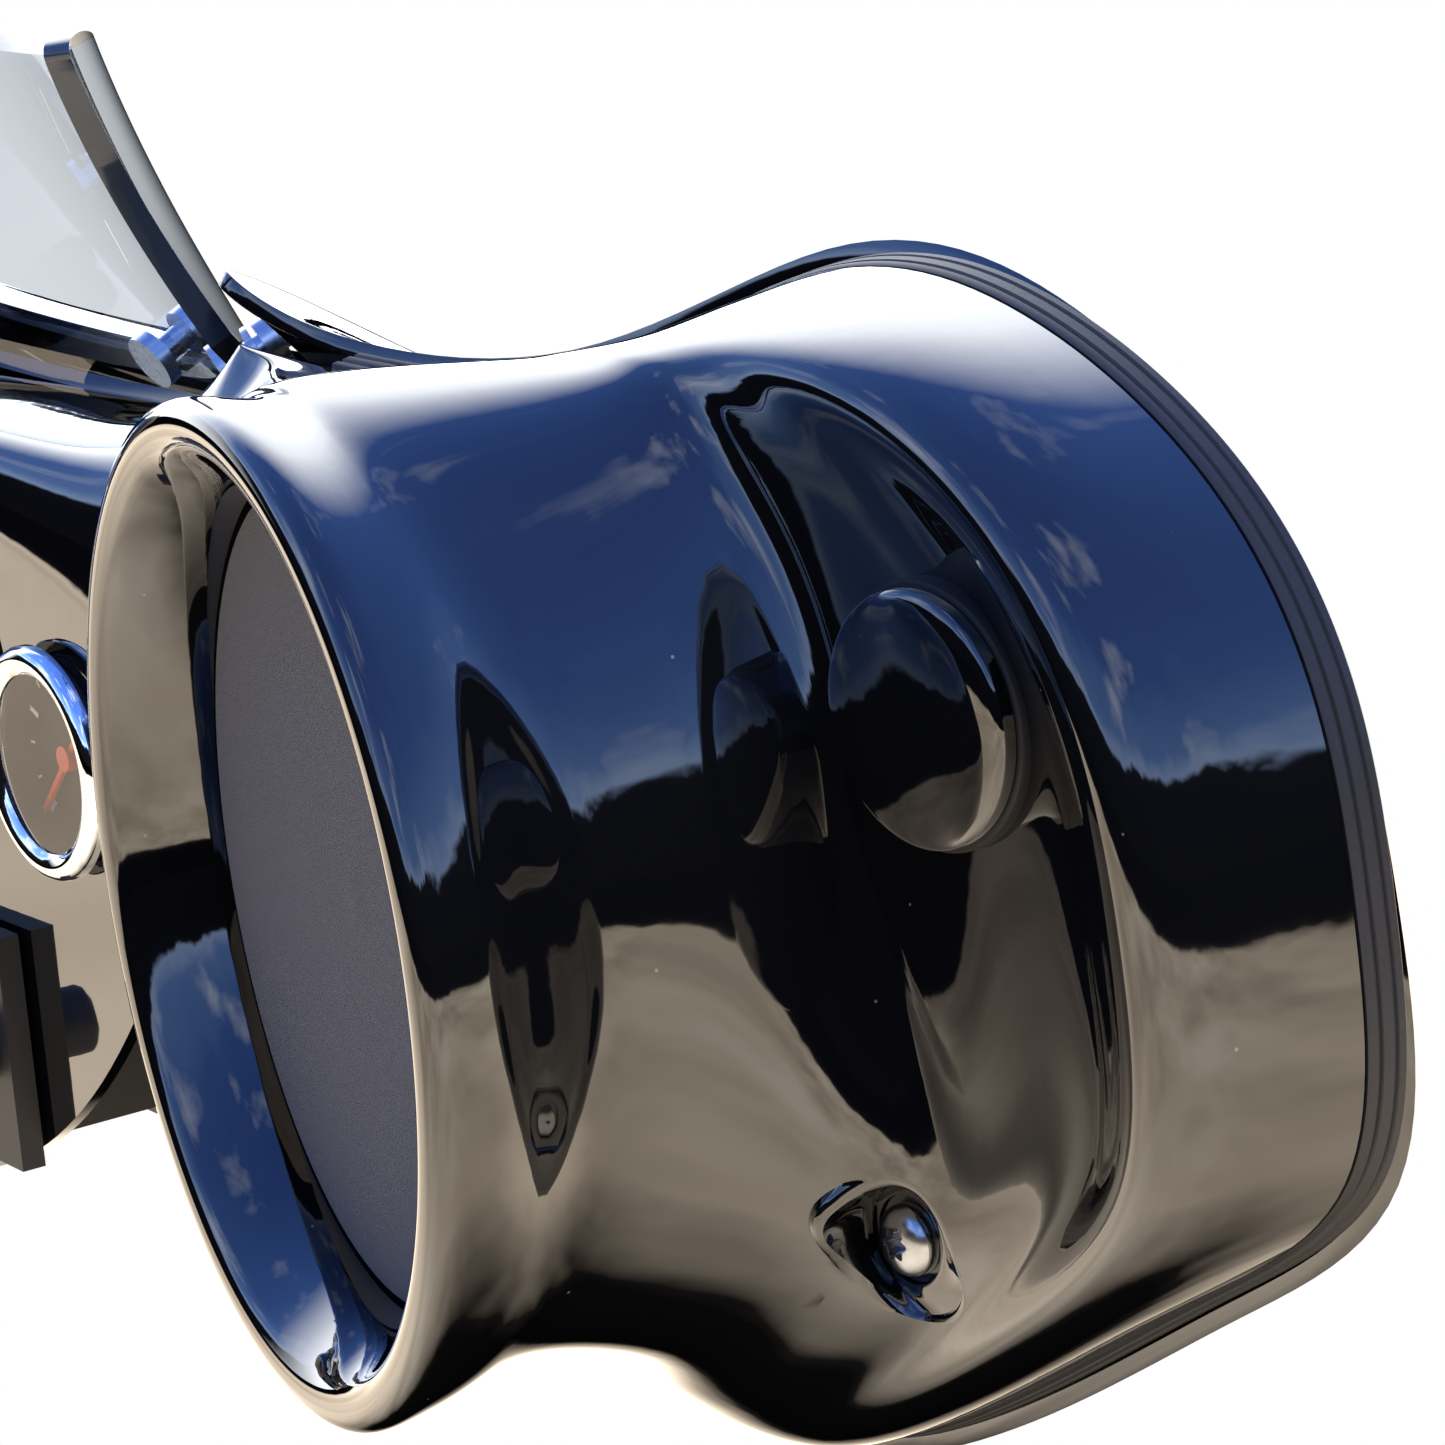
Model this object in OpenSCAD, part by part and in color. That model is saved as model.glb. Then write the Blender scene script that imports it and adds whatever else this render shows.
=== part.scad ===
// Right-and-left batwing fairing for a touring motorcycle, with speaker pods,
// instruments, receiver, headlamp and its steel fork bracket.
// Millimetres. X to the rider's right, Y forward, Z up.
// Origin: middle of the four bolts that hold the bracket on the fork's upper clamp.

/* [Speaker pods] */
// Inner radius of the lip around each speaker
pod_r = 81; // [80:0.5:82]
// How far each pod is turned in towards the rider, in degrees
pod_turn = 11; // [9:1:13]
// Depth from the lip forward to the grille cloth
cloth_depth = 19; // [18:0.5:19]
// Cone travel either way
cone_travel = 4; // [2:0.5:5]

/* [Shells] */
// Wall of the inner shell
wall = 2.8; // [2.4:0.1:3.2]
// Wall of the outer shell
outer_wall = 3.2; // [2.6:0.1:3.6]
// Width of the rubber strip between the shells
strip_w = 7; // [6:0.5:7.5]
// Thickness of the windshield
shield_t = 4.8; // [3:0.1:5]

/* [Mirror hole plugs] */
// Diameter of the domed cap
cap_d = 42.4; // [40:0.2:43]
// Threaded shank of the plug
shank_d = 10; // [8:1:12]

/* [Instruments] */
// Outer diameter of the two large gauges
gauge_d = 80; // [74:1:80]
// Outer diameter of the two small gauges
small_d = 46; // [40:1:46]

/* [Headlamp] */
// Diameter of the headlamp glass
lamp_d = 178; // [172:1:178]

/* [Fork bracket] */
// Bolt spacing across the motorcycle
bolt_x = 80; // [70:1:90]
// Bolt spacing along the motorcycle
bolt_y = 50; // [40:1:52]
// Bolt hole diameter
bolt_d = 8.5; // [6.5:0.5:10.5]

/* [Hidden] */
$fn = 48;

// The shells are laid out from a point between the pods. The fork clamp is below and ahead of it.
clamp = [0, 60, -84];
pod_c = [236, -60, 22];
plug_c = [345, 4.6, 60.6];
screw_c = [328, 3, -31];
lamp_c = [0, 214, -56];

// Where each line of the shell leaves the pod, in degrees round the lip from the outboard side
around = [0, 20, 40, 60, 80, 97, 112, 127, 142, 156, 170, 184, 198, 212, 228, 246, 266, 288, 311, 336];
// Lip section: radius beyond pod_r, depth behind the lip's face
lip = [[-9, 23], [-7.5, 12], [-2, 3], [0.3, 0], [5.5, -0.5], [8.5, 2.5], [7.5, 8], [5, 18]];
// Guide loops of the inner shell from the pod's body out to the rim
body_loop = [[316,-42,24], [312,-42,54], [297,-42,81], [275,-42,103], [250,-40,112], [227,-40,112],
    [205,-38,104], [187,-34,90], [173,-32,78], [162,-31,66], [157,-31,48], [155,-31,24], [156,-28,2],
    [160,-20,-18], [174,-14,-38], [198,-10,-54], [234,-20,-62], [266,-34,-56], [294,-40,-40], [312,-42,-12]];
ridge_loop = [[325,-12,26], [320,-12,56], [305,-10,84], [283,-8,106], [254,-12,113], [224,-22,110],
    [199,-26,104], [182,-26,93], [166,-28,82], [156,-29,68], [150,-30,46], [149,-30,20], [152,-26,-4],
    [158,-10,-24], [172,0,-46], [200,4,-64], [240,4,-72], [278,-6,-62], [308,-10,-42], [324,-12,-14]];
wall_loop = [[316,11.5,29], [314,11.5,58], [303,10,85], [292,3,108], [258,0,113], [220,-10,105],
    [188,-18,104], [178,-20,95], [162,-26,83], [153,-29,70], [147,-30,45], [147,-30,14], [149,-28,-6],
    [156,-4,-26], [170,8,-50], [200,14,-74], [244,14,-86], [290,2,-68], [328,0,-38], [338,8,-14]];
valley_loop = [[376,14,31], [374,14,62], [348,14,90], [308,6,112], [263,10,115], [217,0,101],
    [178,-10,104], [174,-14,98], [159,-24,84], [151,-28,71], [145,-30,45], [146,-30,8], [147,-29,-8],
    [154,2,-28], [169,14,-52], [200,22,-82], [246,22,-94], [298,10,-72], [350,10,-34], [384,12,-8]];
crown_loop = [[395,1,32], [388,1,66], [367,2,97], [322,6,118], [268,20,117], [215,8,97],
    [170,-8,104], [172,-8,100], [157,-22,85], [150,-27,72], [144,-30,45], [146,-30,4], [146,-30,-8],
    [153,8,-29], [168,17,-53], [200,28,-86], [246,30,-99], [302,14,-76], [356,6,-42], [396,3,-10]];
roll_loop = [[406,12,32], [400,12,67], [376,14,99], [328,22,122], [270,32,122], [214,18,93],
    [162,-7,104], [169,-5,103], [155,-21,86], [149,-26,73], [143,-30,45], [146,-30,0], [146,-30,-8],
    [152,12,-30], [167,19,-54], [200,32,-90], [246,36,-103], [305,26,-77], [362,18,-44], [406,14,-16]];
rim_loop = [[408,40,32], [403,40,68], [378,42,99], [326,44,122], [269,44,125], [213,26,90],
    [156,-6,104], [156,-6,104], [156,-6,104], [150,-27,74], [142,-30,45], [145,-30,-8], [145,-30,-8],
    [145,-30,-8], [166,22,-55], [200,36,-92], [246,40,-104], [306,40,-76], [360,40,-42], [410,40,-16]];
// Middle of the deck and dash on the centre line, front to back and down: y, z
dash_middle = [[62,64], [52,67], [32,73], [4,80], [-24,85], [-32,76], [-31,55], [-31,30], [-31,0], [-31,-40], [-31,-78]];
// Rim of the outer shell, from the top middle down the right side to the bottom middle
outer_rim = [[0,79,67], [50,70,70], [92,47,82], [119,22,98], [134,-3,118], [146,8,99], [211,33,92], [267,52.5,125.5],
    [320,53,120.5], [368,51,97], [396,49,67.5], [403,49,31], [408,49,-18], [359,49,-44.5], [306,49,-78],
    [246,50,-105.5], [180,80,-117], [112,130,-128], [58,158,-146], [0,168,-152]];
// Where each of those lines reaches the headlamp hole, in degrees
lamp_turn = [90, 78, 66, 56, 50, 46, 36, 28, 20, 12, 6, 0, -10, -20, -30, -40, -52, -64, -77, -90];

lines = len(around);
lamp_hole_r = lamp_d / 2 + 7;

// Cubic spline through the guide loops
function bs(t) = [pow(1-t,3), 3*t*t*t-6*t*t+4, -3*t*t*t+3*t*t+3*t+1, t*t*t] / 6;
function lip_point(m, c) =
    let (a = around[m], d = (around[(m+1) % lines] - around[(m+lines-1) % lines] + 360) % 360 / 2,
         r = (pod_r + c[0]) * 3 / (2 + cos(d)))
    pod_c + [r*cos(a)*cos(pod_turn) + c[1]*sin(pod_turn), -r*cos(a)*sin(pod_turn) + c[1]*cos(pod_turn), r*sin(a)];
lip_loops = [for (c = lip) [for (m = [0:lines-1]) lip_point(m, c)]];
// The flat seat for the plug lies midway between the wall and the valley
seat_drop = [3.5, 3.5, 1.5];
floor_loop = [for (m = [0:lines-1]) (wall_loop[m] + valley_loop[m]) / 2 - [0, m < 3 ? seat_drop[m] : 0, 0]];
shell_loops = concat(lip_loops, [body_loop, ridge_loop, wall_loop, floor_loop, valley_loop, crown_loop, roll_loop, rim_loop]);
rows = len(shell_loops);
shell_net = concat([2*shell_loops[0] - shell_loops[1]], shell_loops, [2*shell_loops[rows-1] - shell_loops[rows-2]]);
function row_curve(row, u) = let (i = floor(u), w = bs(u - i))
    w[0]*row[(i-1+lines) % lines] + w[1]*row[i % lines] + w[2]*row[(i+1) % lines] + w[3]*row[(i+2) % lines];
function shell_at(u, v) = let (j = min(floor(v), rows-2), w = bs(v - j))
    w[0]*row_curve(shell_net[j], u) + w[1]*row_curve(shell_net[j+1], u)
    + w[2]*row_curve(shell_net[j+2], u) + w[3]*row_curve(shell_net[j+3], u);

steps = 2;
nu = lines * steps;
v_list = concat([for (v = [0:1:7]) v], [for (v = [7.5:0.5:rows-1]) v]);
nv = len(v_list);
grid = [for (v = v_list) [for (i = [0:nu-1]) shell_at(i / steps, v)]];
function unit(a) = a / max(norm(a), 0.001);
function thick_grid(g, t, closed) = let (r = len(g), c = len(g[0]))
    [for (j = [0:r-1]) [for (i = [0:c-1])
        let (e = closed ? g[j][(i+1) % c] - g[j][(i+c-1) % c] : g[j][min(i+1, c-1)] - g[j][max(i-1, 0)],
             f = g[min(j+1, r-1)][i] - g[max(j-1, 0)][i])
        g[j][i] + t * unit(cross(f, e))]];

// Seam between pod and dash runs from line 7 to line 12
seam0 = 7 * steps;
seam1 = 12 * steps;
seam_n = seam1 - seam0 + 1;
across = 14;
function bulge_y(t, r = 0) = pow(max(1 - t*t, 0), 1.6);
function bulge_z(t) = 1 - pow(abs(t), 2.6);
function dash_at(r, t) = let (s = grid[nv-1][seam0 + r], c = dash_middle[r])
    [s[0]*t, s[1] + (c[0]-s[1])*bulge_y(t, r), s[2] + (c[1]-s[2])*bulge_z(t)];

module from_clamp() translate(-clamp) children();
module both() { children(); mirror([1, 0, 0]) children(); }
module at_pod() translate(pod_c) rotate([0, 0, -pod_turn]) rotate([90, 0, 0]) children();
module at_plug() translate(plug_c) rotate([0, 0, 5]) rotate([90, 0, 0]) children();
module at_screw() translate(screw_c) rotate([0, 0, 5]) rotate([90, 0, 0]) children();
module ring(r1, r2, z0, z1) translate([0, 0, z0]) rotate_extrude($fn = 72) translate([r1, 0]) square([r2 - r1, z1 - z0]);
module rod(a, b, r) {
    d = b - a;
    translate(a) rotate([0, acos(d[2] / norm(d)), atan2(d[1], d[0])]) cylinder(h = norm(d), r = r, $fn = 24);
}

module inner_skin() {
    outer = grid;
    inner = thick_grid(grid, -wall, true);
    mid_out = [for (r = [0:seam_n-1]) [for (k = [1:across-1]) dash_at(r, 1 - 2*k/across)]];
    mid_full = [for (r = [0:seam_n-1]) [for (k = [0:across]) dash_at(r, 1 - 2*k/across)]];
    mid_thick = thick_grid(mid_full, wall, false);
    flip = function(p) [-p[0], p[1], p[2]];
    side = nv * nu;
    points = concat(
        [for (j = [0:nv-1]) for (i = [0:nu-1]) outer[j][i]],
        [for (j = [0:nv-1]) for (i = [0:nu-1]) inner[j][i]],
        [for (j = [0:nv-1]) for (i = [0:nu-1]) flip(outer[j][i])],
        [for (j = [0:nv-1]) for (i = [0:nu-1]) flip(inner[j][i])],
        [for (r = [0:seam_n-1]) for (k = [1:across-1]) mid_out[r][k-1]],
        [for (r = [0:seam_n-1]) for (k = [1:across-1]) mid_thick[r][k]]
    );
    // s: 0 right, 1 left; f: 0 face, 1 back
    pt = function(s, f, j, i) (2*s + f) * side + j*nu + (i + nu) % nu;
    dp = function(f, r, k) k == 0 ? pt(0, f, nv-1, seam0 + r) : k == across ? pt(1, f, nv-1, seam0 + r)
        : 4*side + f * seam_n * (across-1) + r * (across-1) + k - 1;
    quad = function(a, b, c, d, turn) turn ? [[a, c, b], [a, d, c]] : [[a, b, c], [a, c, d]];
    tris = concat(
        [for (s = [0, 1]) for (f = [0, 1]) for (j = [0:nv-2]) for (i = [0:nu-1])
            each quad(pt(s,f,j,i), pt(s,f,j,i+1), pt(s,f,j+1,i+1), pt(s,f,j+1,i), (s + f) % 2 == 1)],
        [for (s = [0, 1]) for (i = [0:nu-1])
            each quad(pt(s,0,0,i), pt(s,0,0,i+1), pt(s,1,0,i+1), pt(s,1,0,i), s == 0)],
        [for (s = [0, 1]) for (i = [0:nu-1]) if (i < seam0 || i >= seam1)
            each quad(pt(s,0,nv-1,i), pt(s,0,nv-1,i+1), pt(s,1,nv-1,i+1), pt(s,1,nv-1,i), s == 1)],
        [for (f = [0, 1]) for (r = [0:seam_n-2]) for (k = [0:across-1])
            each quad(dp(f,r,k), dp(f,r+1,k), dp(f,r+1,k+1), dp(f,r,k+1), f == 1)],
        [for (k = [0:across-1]) each quad(dp(0,0,k), dp(0,0,k+1), dp(1,0,k+1), dp(1,0,k), false)],
        [for (k = [0:across-1]) each quad(dp(0,seam_n-1,k), dp(0,seam_n-1,k+1), dp(1,seam_n-1,k+1), dp(1,seam_n-1,k), true)]
    );
    polyhedron(points = points, faces = tris);
}

// Closed ring of skin between two edges of a grid, all the way round
module ring_skin(g, t) {
    b = thick_grid(g, t, true);
    r = len(g);
    c = len(g[0]);
    pt = function(f, j, i) f*r*c + j*c + (i + c) % c;
    quad = function(a, b, c, d, turn) turn ? [[a, c, b], [a, d, c]] : [[a, b, c], [a, c, d]];
    polyhedron(points = concat([for (row = g) each row], [for (row = b) each row]), faces = concat(
        [for (f = [0, 1]) for (j = [0:r-2]) for (i = [0:c-1])
            each quad(pt(f,j,i), pt(f,j,i+1), pt(f,j+1,i+1), pt(f,j+1,i), f == 0)],
        [for (i = [0:c-1]) each quad(pt(0,0,i), pt(0,0,i+1), pt(1,0,i+1), pt(1,0,i), false)],
        [for (i = [0:c-1]) each quad(pt(0,r-1,i), pt(0,r-1,i+1), pt(1,r-1,i+1), pt(1,r-1,i), true)]));
}

// Open sheet of skin with four edges; b is its other face
module sheet_skin(g, b) {
    r = len(g);
    c = len(g[0]);
    pt = function(f, j, i) f*r*c + j*c + i;
    quad = function(a, b, c, d, turn) turn ? [[a, c, b], [a, d, c]] : [[a, b, c], [a, c, d]];
    polyhedron(points = concat([for (row = g) each row], [for (row = b) each row]), faces = concat(
        [for (f = [0, 1]) for (j = [0:r-2]) for (i = [0:c-2])
            each quad(pt(f,j,i), pt(f,j,i+1), pt(f,j+1,i+1), pt(f,j+1,i), f == 0)],
        [for (i = [0:c-2]) each quad(pt(0,0,i), pt(0,0,i+1), pt(1,0,i+1), pt(1,0,i), false)],
        [for (i = [0:c-2]) each quad(pt(0,r-1,i), pt(0,r-1,i+1), pt(1,r-1,i+1), pt(1,r-1,i), true)],
        [for (j = [0:r-2]) each quad(pt(0,j,0), pt(0,j+1,0), pt(1,j+1,0), pt(1,j,0), true)],
        [for (j = [0:r-2]) each quad(pt(0,j,c-1), pt(0,j+1,c-1), pt(1,j+1,c-1), pt(1,j,c-1), false)]));
}

// Instruments: x, z, radius
dash_y = -31;
big_r = gauge_d / 2;
small_r = small_d / 2;
gauges = [[44, 30, big_r], [-44, 30, big_r], [111, 23, small_r], [-111, 23, small_r]];
gauge_depth = 32;
module at_gauge(g) translate([g[0], dash_y - 0.7, g[1]]) rotate([90, 0, 0]) children();
rx_w = 164;
rx_h = 40;
rx_z = -40;

module inner_fairing() color("#0b0c10") from_clamp() {
    difference() {
        inner_skin();
        both() {
            at_plug() translate([0, 0, -20]) cylinder(h = 40, d = shank_d + 1.2);
            at_screw() translate([0, 0, -20]) cylinder(h = 40, r = 10.9);
        }
        for (g = gauges) at_gauge(g) translate([0, 0, -12]) cylinder(h = 24, r = g[2] - 2.4);
        translate([-rx_w/2 - 1, dash_y - 12, rx_z - rx_h/2 - 1]) cube([rx_w + 2, 24, rx_h + 2]);
    }
    both() at_screw() screw_cup();
}
cup_floor = -5;
module screw_cup() difference() {
    translate([0, 0, cup_floor - 2.5]) cylinder(h = 16, r = 11.6);
    rotate([0, 0, 157]) rotate([0, -23, 0]) translate([-30, -30, 0.6]) cube([60, 60, 30]);
    translate([0, 0, cup_floor]) cylinder(h = 20, r = 10.6);
    translate([0, 0, cup_floor - 1.2]) cylinder(h = 20, r = 7.6);
    translate([0, 0, cup_floor - 4]) cylinder(h = 20, r = 3.2);
}
module shell_screws() color("#c9ccd1") from_clamp() both() at_screw() difference() {
    union() {
        translate([0, 0, cup_floor - 1.2]) rotate_extrude() polygon([[0, 0], [6.3, 0], [6.3, 2.2], [5.4, 3.6], [3.4, 4.2], [0, 4.4]]);
        translate([0, 0, cup_floor - 20]) cylinder(h = 19, r = 3);
    }
    translate([0, 0, cup_floor + 0.6]) {
        cylinder(h = 5, r = 2.1);
        for (k = [0:5]) rotate([0, 0, 60*k]) translate([2.2, 0, 0]) cylinder(h = 5, r = 0.75);
    }
}
module shell_screw_nuts() color("#8d9096") from_clamp() both() at_screw() difference() {
    translate([0, 0, cup_floor - 12]) cylinder(h = 8, r = 6.5, $fn = 6);
    translate([0, 0, cup_floor - 13]) cylinder(h = 10, r = 3.05);
}

full_rim = concat(outer_rim, [for (i = [lines-2:-1:1]) [-outer_rim[i][0], outer_rim[i][1], outer_rim[i][2]]]);
full_turn = concat(lamp_turn, [for (i = [lines-2:-1:1]) 180 - lamp_turn[i]]);
rim_n = len(full_rim);
function loop_at(l, u) = let (i = floor(u), n = len(l), w = bs(u - i))
    w[0]*l[(i-1+n) % n] + w[1]*l[i % n] + w[2]*l[(i+1) % n] + w[3]*l[(i+2) % n];
lamp_ring = [for (a = full_turn) lamp_c + lamp_hole_r * [cos(a), 0, sin(a)]];
function dome_at(u, t) = let (r = loop_at(full_rim, u), h0 = loop_at(lamp_ring, u),
        h = lamp_c + lamp_hole_r * unit(h0 - lamp_c), w = norm([h[0]-r[0], h[2]-r[2]]))
    [r[0] + (h[0]-r[0])*t, r[1] + (h[1]-r[1])*(0.8*t + 0.2*pow(t, 4)) + 3*(1 - exp(-t*w/6))*(1 - t),
     r[2] + (h[2]-r[2])*t];
dome_steps = [1, 0.85, 0.65, 0.42, 0.2, 0.07, 0.02, 0];
dome_inside = [for (t = dome_steps) [for (i = [0:2*rim_n-1]) dome_at(i/2, t)]];
module outer_fairing() color("#0b0c10") from_clamp()
    ring_skin(thick_grid(dome_inside, outer_wall, true), -outer_wall);

module fairing_gasket() color("#3c3d40") from_clamp() both() {
    us = [for (k = [0:44]) (15.4 + k * 10.4 / 44)];
    mid = [236, 0, 22];
    p = [for (u = us) row_curve(rim_loop, u % lines)];
    o = [for (q = p) unit([q[0]-mid[0], 0, q[2]-mid[2]])];
    face = [[for (k = [0:44]) p[k] + [0, 0.6, 0] + 0.3*o[k]], [for (k = [0:44]) p[k] + [0, 0.6 + strip_w, 0] + 1.6*o[k]]];
    back = [for (row = face) [for (k = [0:44]) row[k] - 4.5*o[k]]];
    sheet_skin(face, back);
}

function shield_at(s, dz) = [s*(128 - 0.15*dz + 0.006*dz*dz), 1 + 65*(1 - s*s) - 0.55*dz, 102 - 38*bulge_z(s) + dz];
function shield_h(s) = 56 + 27*pow(max(1 - pow(s, 4), 0), 0.7);
function shield_n(s, dz) = unit(cross(shield_at(s+0.01, dz) - shield_at(s-0.01, dz), shield_at(s, dz-1) - shield_at(s, dz+1)));
shield_screws = [-0.55, 0, 0.55];
module windshield() color([0.75, 0.82, 0.9, 0.35]) from_clamp() {
    ss = [for (k = [0:26]) sin(k*180/26 - 90)];
    g = [for (h = [0:6]) [for (s = ss) shield_at(s, -3 + (shield_h(s) + 3)*h/6)]];
    b = [for (h = [0:6]) [for (s = ss) shield_at(s, -3 + (shield_h(s) + 3)*h/6)
        + shield_t * shield_n(min(max(s, -0.98), 0.98), 10)]];
    difference() {
        sheet_skin(g, b);
        for (s = shield_screws) rod(shield_at(s, 12) - 9*shield_n(s, 12), shield_at(s, 12) + 12*shield_n(s, 12), 3.4);
    }
}
module windshield_screws() color("#d8dade") from_clamp() for (s = shield_screws) {
    p = shield_at(s, 12);
    n = shield_n(s, 12);
    rod(p - 1.2*n, p + (shield_t + 7)*n, 3);
    rod(p - 4.4*n, p - 1.2*n, 6.5);
    rod(p + (shield_t + 1.2)*n, p + (shield_t + 5)*n, 5.5);
}

module mirror_hole_plugs() color("#0d0e12") from_clamp() both() at_plug() {
    rotate_extrude($fn = 96) polygon([[0, -3], [cap_d/2, -3], [cap_d/2, -0.9], [cap_d/2 - 0.6, -0.1],
        [cap_d/2 - 2, 0.3], [14, 1.1], [7, 1.5], [0, 1.6]]);
    translate([0, 0, -28]) cylinder(h = 25, d = shank_d);
}
module plug_seal_rings() color("#1a1a1c") from_clamp() both() at_plug() ring(shank_d/2 + 0.4, cap_d/2 + 1, -4.1, -3.1);
module plug_nuts() color("#9a9da3") from_clamp() both() at_plug() difference() {
    union() {
        translate([0, 0, -13.5]) cylinder(h = 1.8, r = 12);
        translate([0, 0, -20.5]) cylinder(h = 7, r = 9.2, $fn = 6);
    }
    translate([0, 0, -30]) cylinder(h = 40, d = shank_d + 0.1);
}

// Everything in the pods is set along the pod's own axis, measured back from the lip
flange_z = -29.7;
module speaker_adapter_rings() color("#17181a") from_clamp() both() at_pod() difference() {
    ring(66, 73.6, -27.5, -23.4);
    speaker_holes(2.3);
}
module speaker_holes(r) for (k = [0:3]) rotate([0, 0, 45 + 90*k]) translate([69.8, 0, -40]) cylinder(h = 30, r = r, $fn = 24);
module grille_frames() color("#202124") from_clamp() both() at_pod() {
    ring(67.5, 71.2, -cloth_depth - 3.8, -cloth_depth - 1.4);
    for (a = [0, 90]) rotate([0, 0, a]) translate([-67.8, -1.5, -cloth_depth - 3.2]) cube([135.6, 3, 1.6]);
}
module grille_cloths() color("#3a3b3e") from_clamp() both() at_pod()
    translate([0, 0, -cloth_depth - 1.2]) cylinder(h = 1.2, r = 71.4, $fn = 96);
module speaker_baskets() color("#2b2c2f") from_clamp() both() at_pod() {
    difference() {
        ring(59, 73, flange_z, -27.7);
        speaker_holes(2.3);
    }
    for (k = [0:5]) rotate([0, 0, 15 + 60*k]) rotate([90, 0, 0]) translate([0, 0, -4])
        linear_extrude(8) polygon([[59.5, flange_z - 0.2], [63.5, flange_z - 0.2], [46, -60], [40, -60]]);
    difference() {
        translate([0, 0, -63]) cylinder(h = 3, r = 47);
        translate([0, 0, -70]) cylinder(h = 20, r = 20);
    }
}
module speaker_magnets() color("#55585c") from_clamp() both() at_pod() {
    translate([0, 0, -80]) cylinder(h = 16.8, r = 42, $fn = 72);
    translate([0, 0, -63]) cylinder(h = 9, r = 11);
}
module speaker_screws() color("#c9ccd1") from_clamp() both() at_pod() for (k = [0:3]) rotate([0, 0, 45 + 90*k])
    translate([69.8, 0, 0]) {
        translate([0, 0, -32.2]) cylinder(h = 2.3, r = 3);
        translate([0, 0, -30]) cylinder(h = 6, r = 2.2, $fn = 24);
    }
module cone_shape() rotate_extrude($fn = 72) polygon([[54, -31.4], [54, -30.2], [52, -30.2], [13.2, -45.6], [13.2, -58],
    [14.2, -58], [14.2, -46.8], [51.8, -31.4]]);
module surround_shape() rotate_extrude($fn = 72) polygon([[54.3, -31.2], [54.3, -30], [55.2, -28.3], [56.6, -27.6], [58, -28.3],
    [58.7, -29.6], [58.7, -30.8], [57.9, -30.8], [57.2, -29.2], [56.6, -28.8], [56, -29.2], [55.2, -31.2]]);
module dust_shape() rotate_extrude($fn = 72) polygon([[0, -41.2], [6, -41.9], [11, -43.6], [14.6, -46.4], [14, -46.8],
    [10.6, -44.4], [5.8, -42.8], [0, -42.1]]);
module cone_right() color("#26272a") from_clamp() at_pod() cone_shape();
module cone_left() color("#26272a") from_clamp() mirror([1, 0, 0]) at_pod() cone_shape();
module surround_right() color("#141416") from_clamp() at_pod() surround_shape();
module surround_left() color("#141416") from_clamp() mirror([1, 0, 0]) at_pod() surround_shape();
module dust_cap_right() color("#303236") from_clamp() at_pod() translate([0, 0, 1.9]) dust_shape();
module dust_cap_left() color("#303236") from_clamp() mirror([1, 0, 0]) at_pod() translate([0, 0, 1.9]) dust_shape();

module gauge_housings() color("#1b1c1f") from_clamp() for (g = gauges) at_gauge(g) difference() {
    translate([0, 0, -gauge_depth]) cylinder(h = gauge_depth + 0.4, r = g[2] - 3);
    translate([0, 0, 1.6 - gauge_depth]) cylinder(h = gauge_depth, r = g[2] - 4.6);
}
module gauge_bezels() color("#d8dade") from_clamp() for (g = gauges) at_gauge(g) translate([0, 0, 0.6])
    rotate_extrude($fn = 96) translate([g[2], 0]) polygon([[-3, 0], [0, 0], [0, 1.6], [-1, 3.2], [-2.6, 3.8], [-4.6, 3], [-5.4, 2.2], [-3, 2.2]]);
module gauge_dials() color("#101114") from_clamp() for (g = gauges) at_gauge(g) difference() {
    translate([0, 0, -6]) cylinder(h = 1, r = g[2] - 4.9);
    translate([0, 0, -8]) cylinder(h = 4, r = 1.3);
}
module gauge_lenses() color([0.85, 0.9, 0.95, 0.3]) from_clamp() for (g = gauges) at_gauge(g)
    translate([0, 0, 0.7]) cylinder(h = 1.8, r = g[2] - 3.3);
module needle(g) from_clamp() at_gauge(g) {
    translate([0, 0, -8.5]) cylinder(h = 5, r = 1);
    translate([0, 0, -4.4]) cylinder(h = 2.2, r = 0.11*g[2]);
    rotate([0, 0, 225]) translate([-0.22*g[2], -0.6, -3.9]) cube([0.98*g[2], 1.2, 0.9]);
}
module speed_needle() color("#e2542c") needle(gauges[1]);
module engine_speed_needle() color("#e2542c") needle(gauges[0]);
module fuel_needle() color("#e2542c") needle(gauges[2]);
module voltage_needle() color("#e2542c") needle(gauges[3]);

module receiver_case() color("#2a2b2e") from_clamp() translate([-rx_w/2, dash_y + 1, rx_z - rx_h/2]) cube([rx_w, 56, rx_h]);
face_y = dash_y - 0.9;
keys = [[-66, 9], [-66, -9], [59.8, 9], [59.8, -9]];
knob_x = 75.5;
module receiver_face() color("#141517") from_clamp() difference() {
    translate([-rx_w/2 - 5, face_y - 5, rx_z - rx_h/2 - 4]) cube([rx_w + 10, 5, rx_h + 8]);
    translate([-52, face_y - 6, rx_z - 15]) cube([104, 4, 30]);
    translate([knob_x, face_y - 6, rx_z]) rotate([-90, 0, 0]) cylinder(h = 4, r = 2.6);
    for (k = keys) translate([k[0] - 6.4, face_y - 6, rx_z + k[1] - 6.4]) cube([12.8, 4.6, 12.8]);
}
module receiver_screen() color("#1d2a3a") from_clamp() translate([-51.7, face_y - 4.6, rx_z - 14.7]) cube([103.4, 2.2, 29.4]);
module volume_knob() color("#2c2d30") from_clamp() translate([knob_x, face_y - 2.2, rx_z]) rotate([90, 0, 0]) {
    cylinder(h = 5, r = 2.5);
    translate([0, 0, 3.4]) cylinder(h = 9, r = 7);
}
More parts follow.
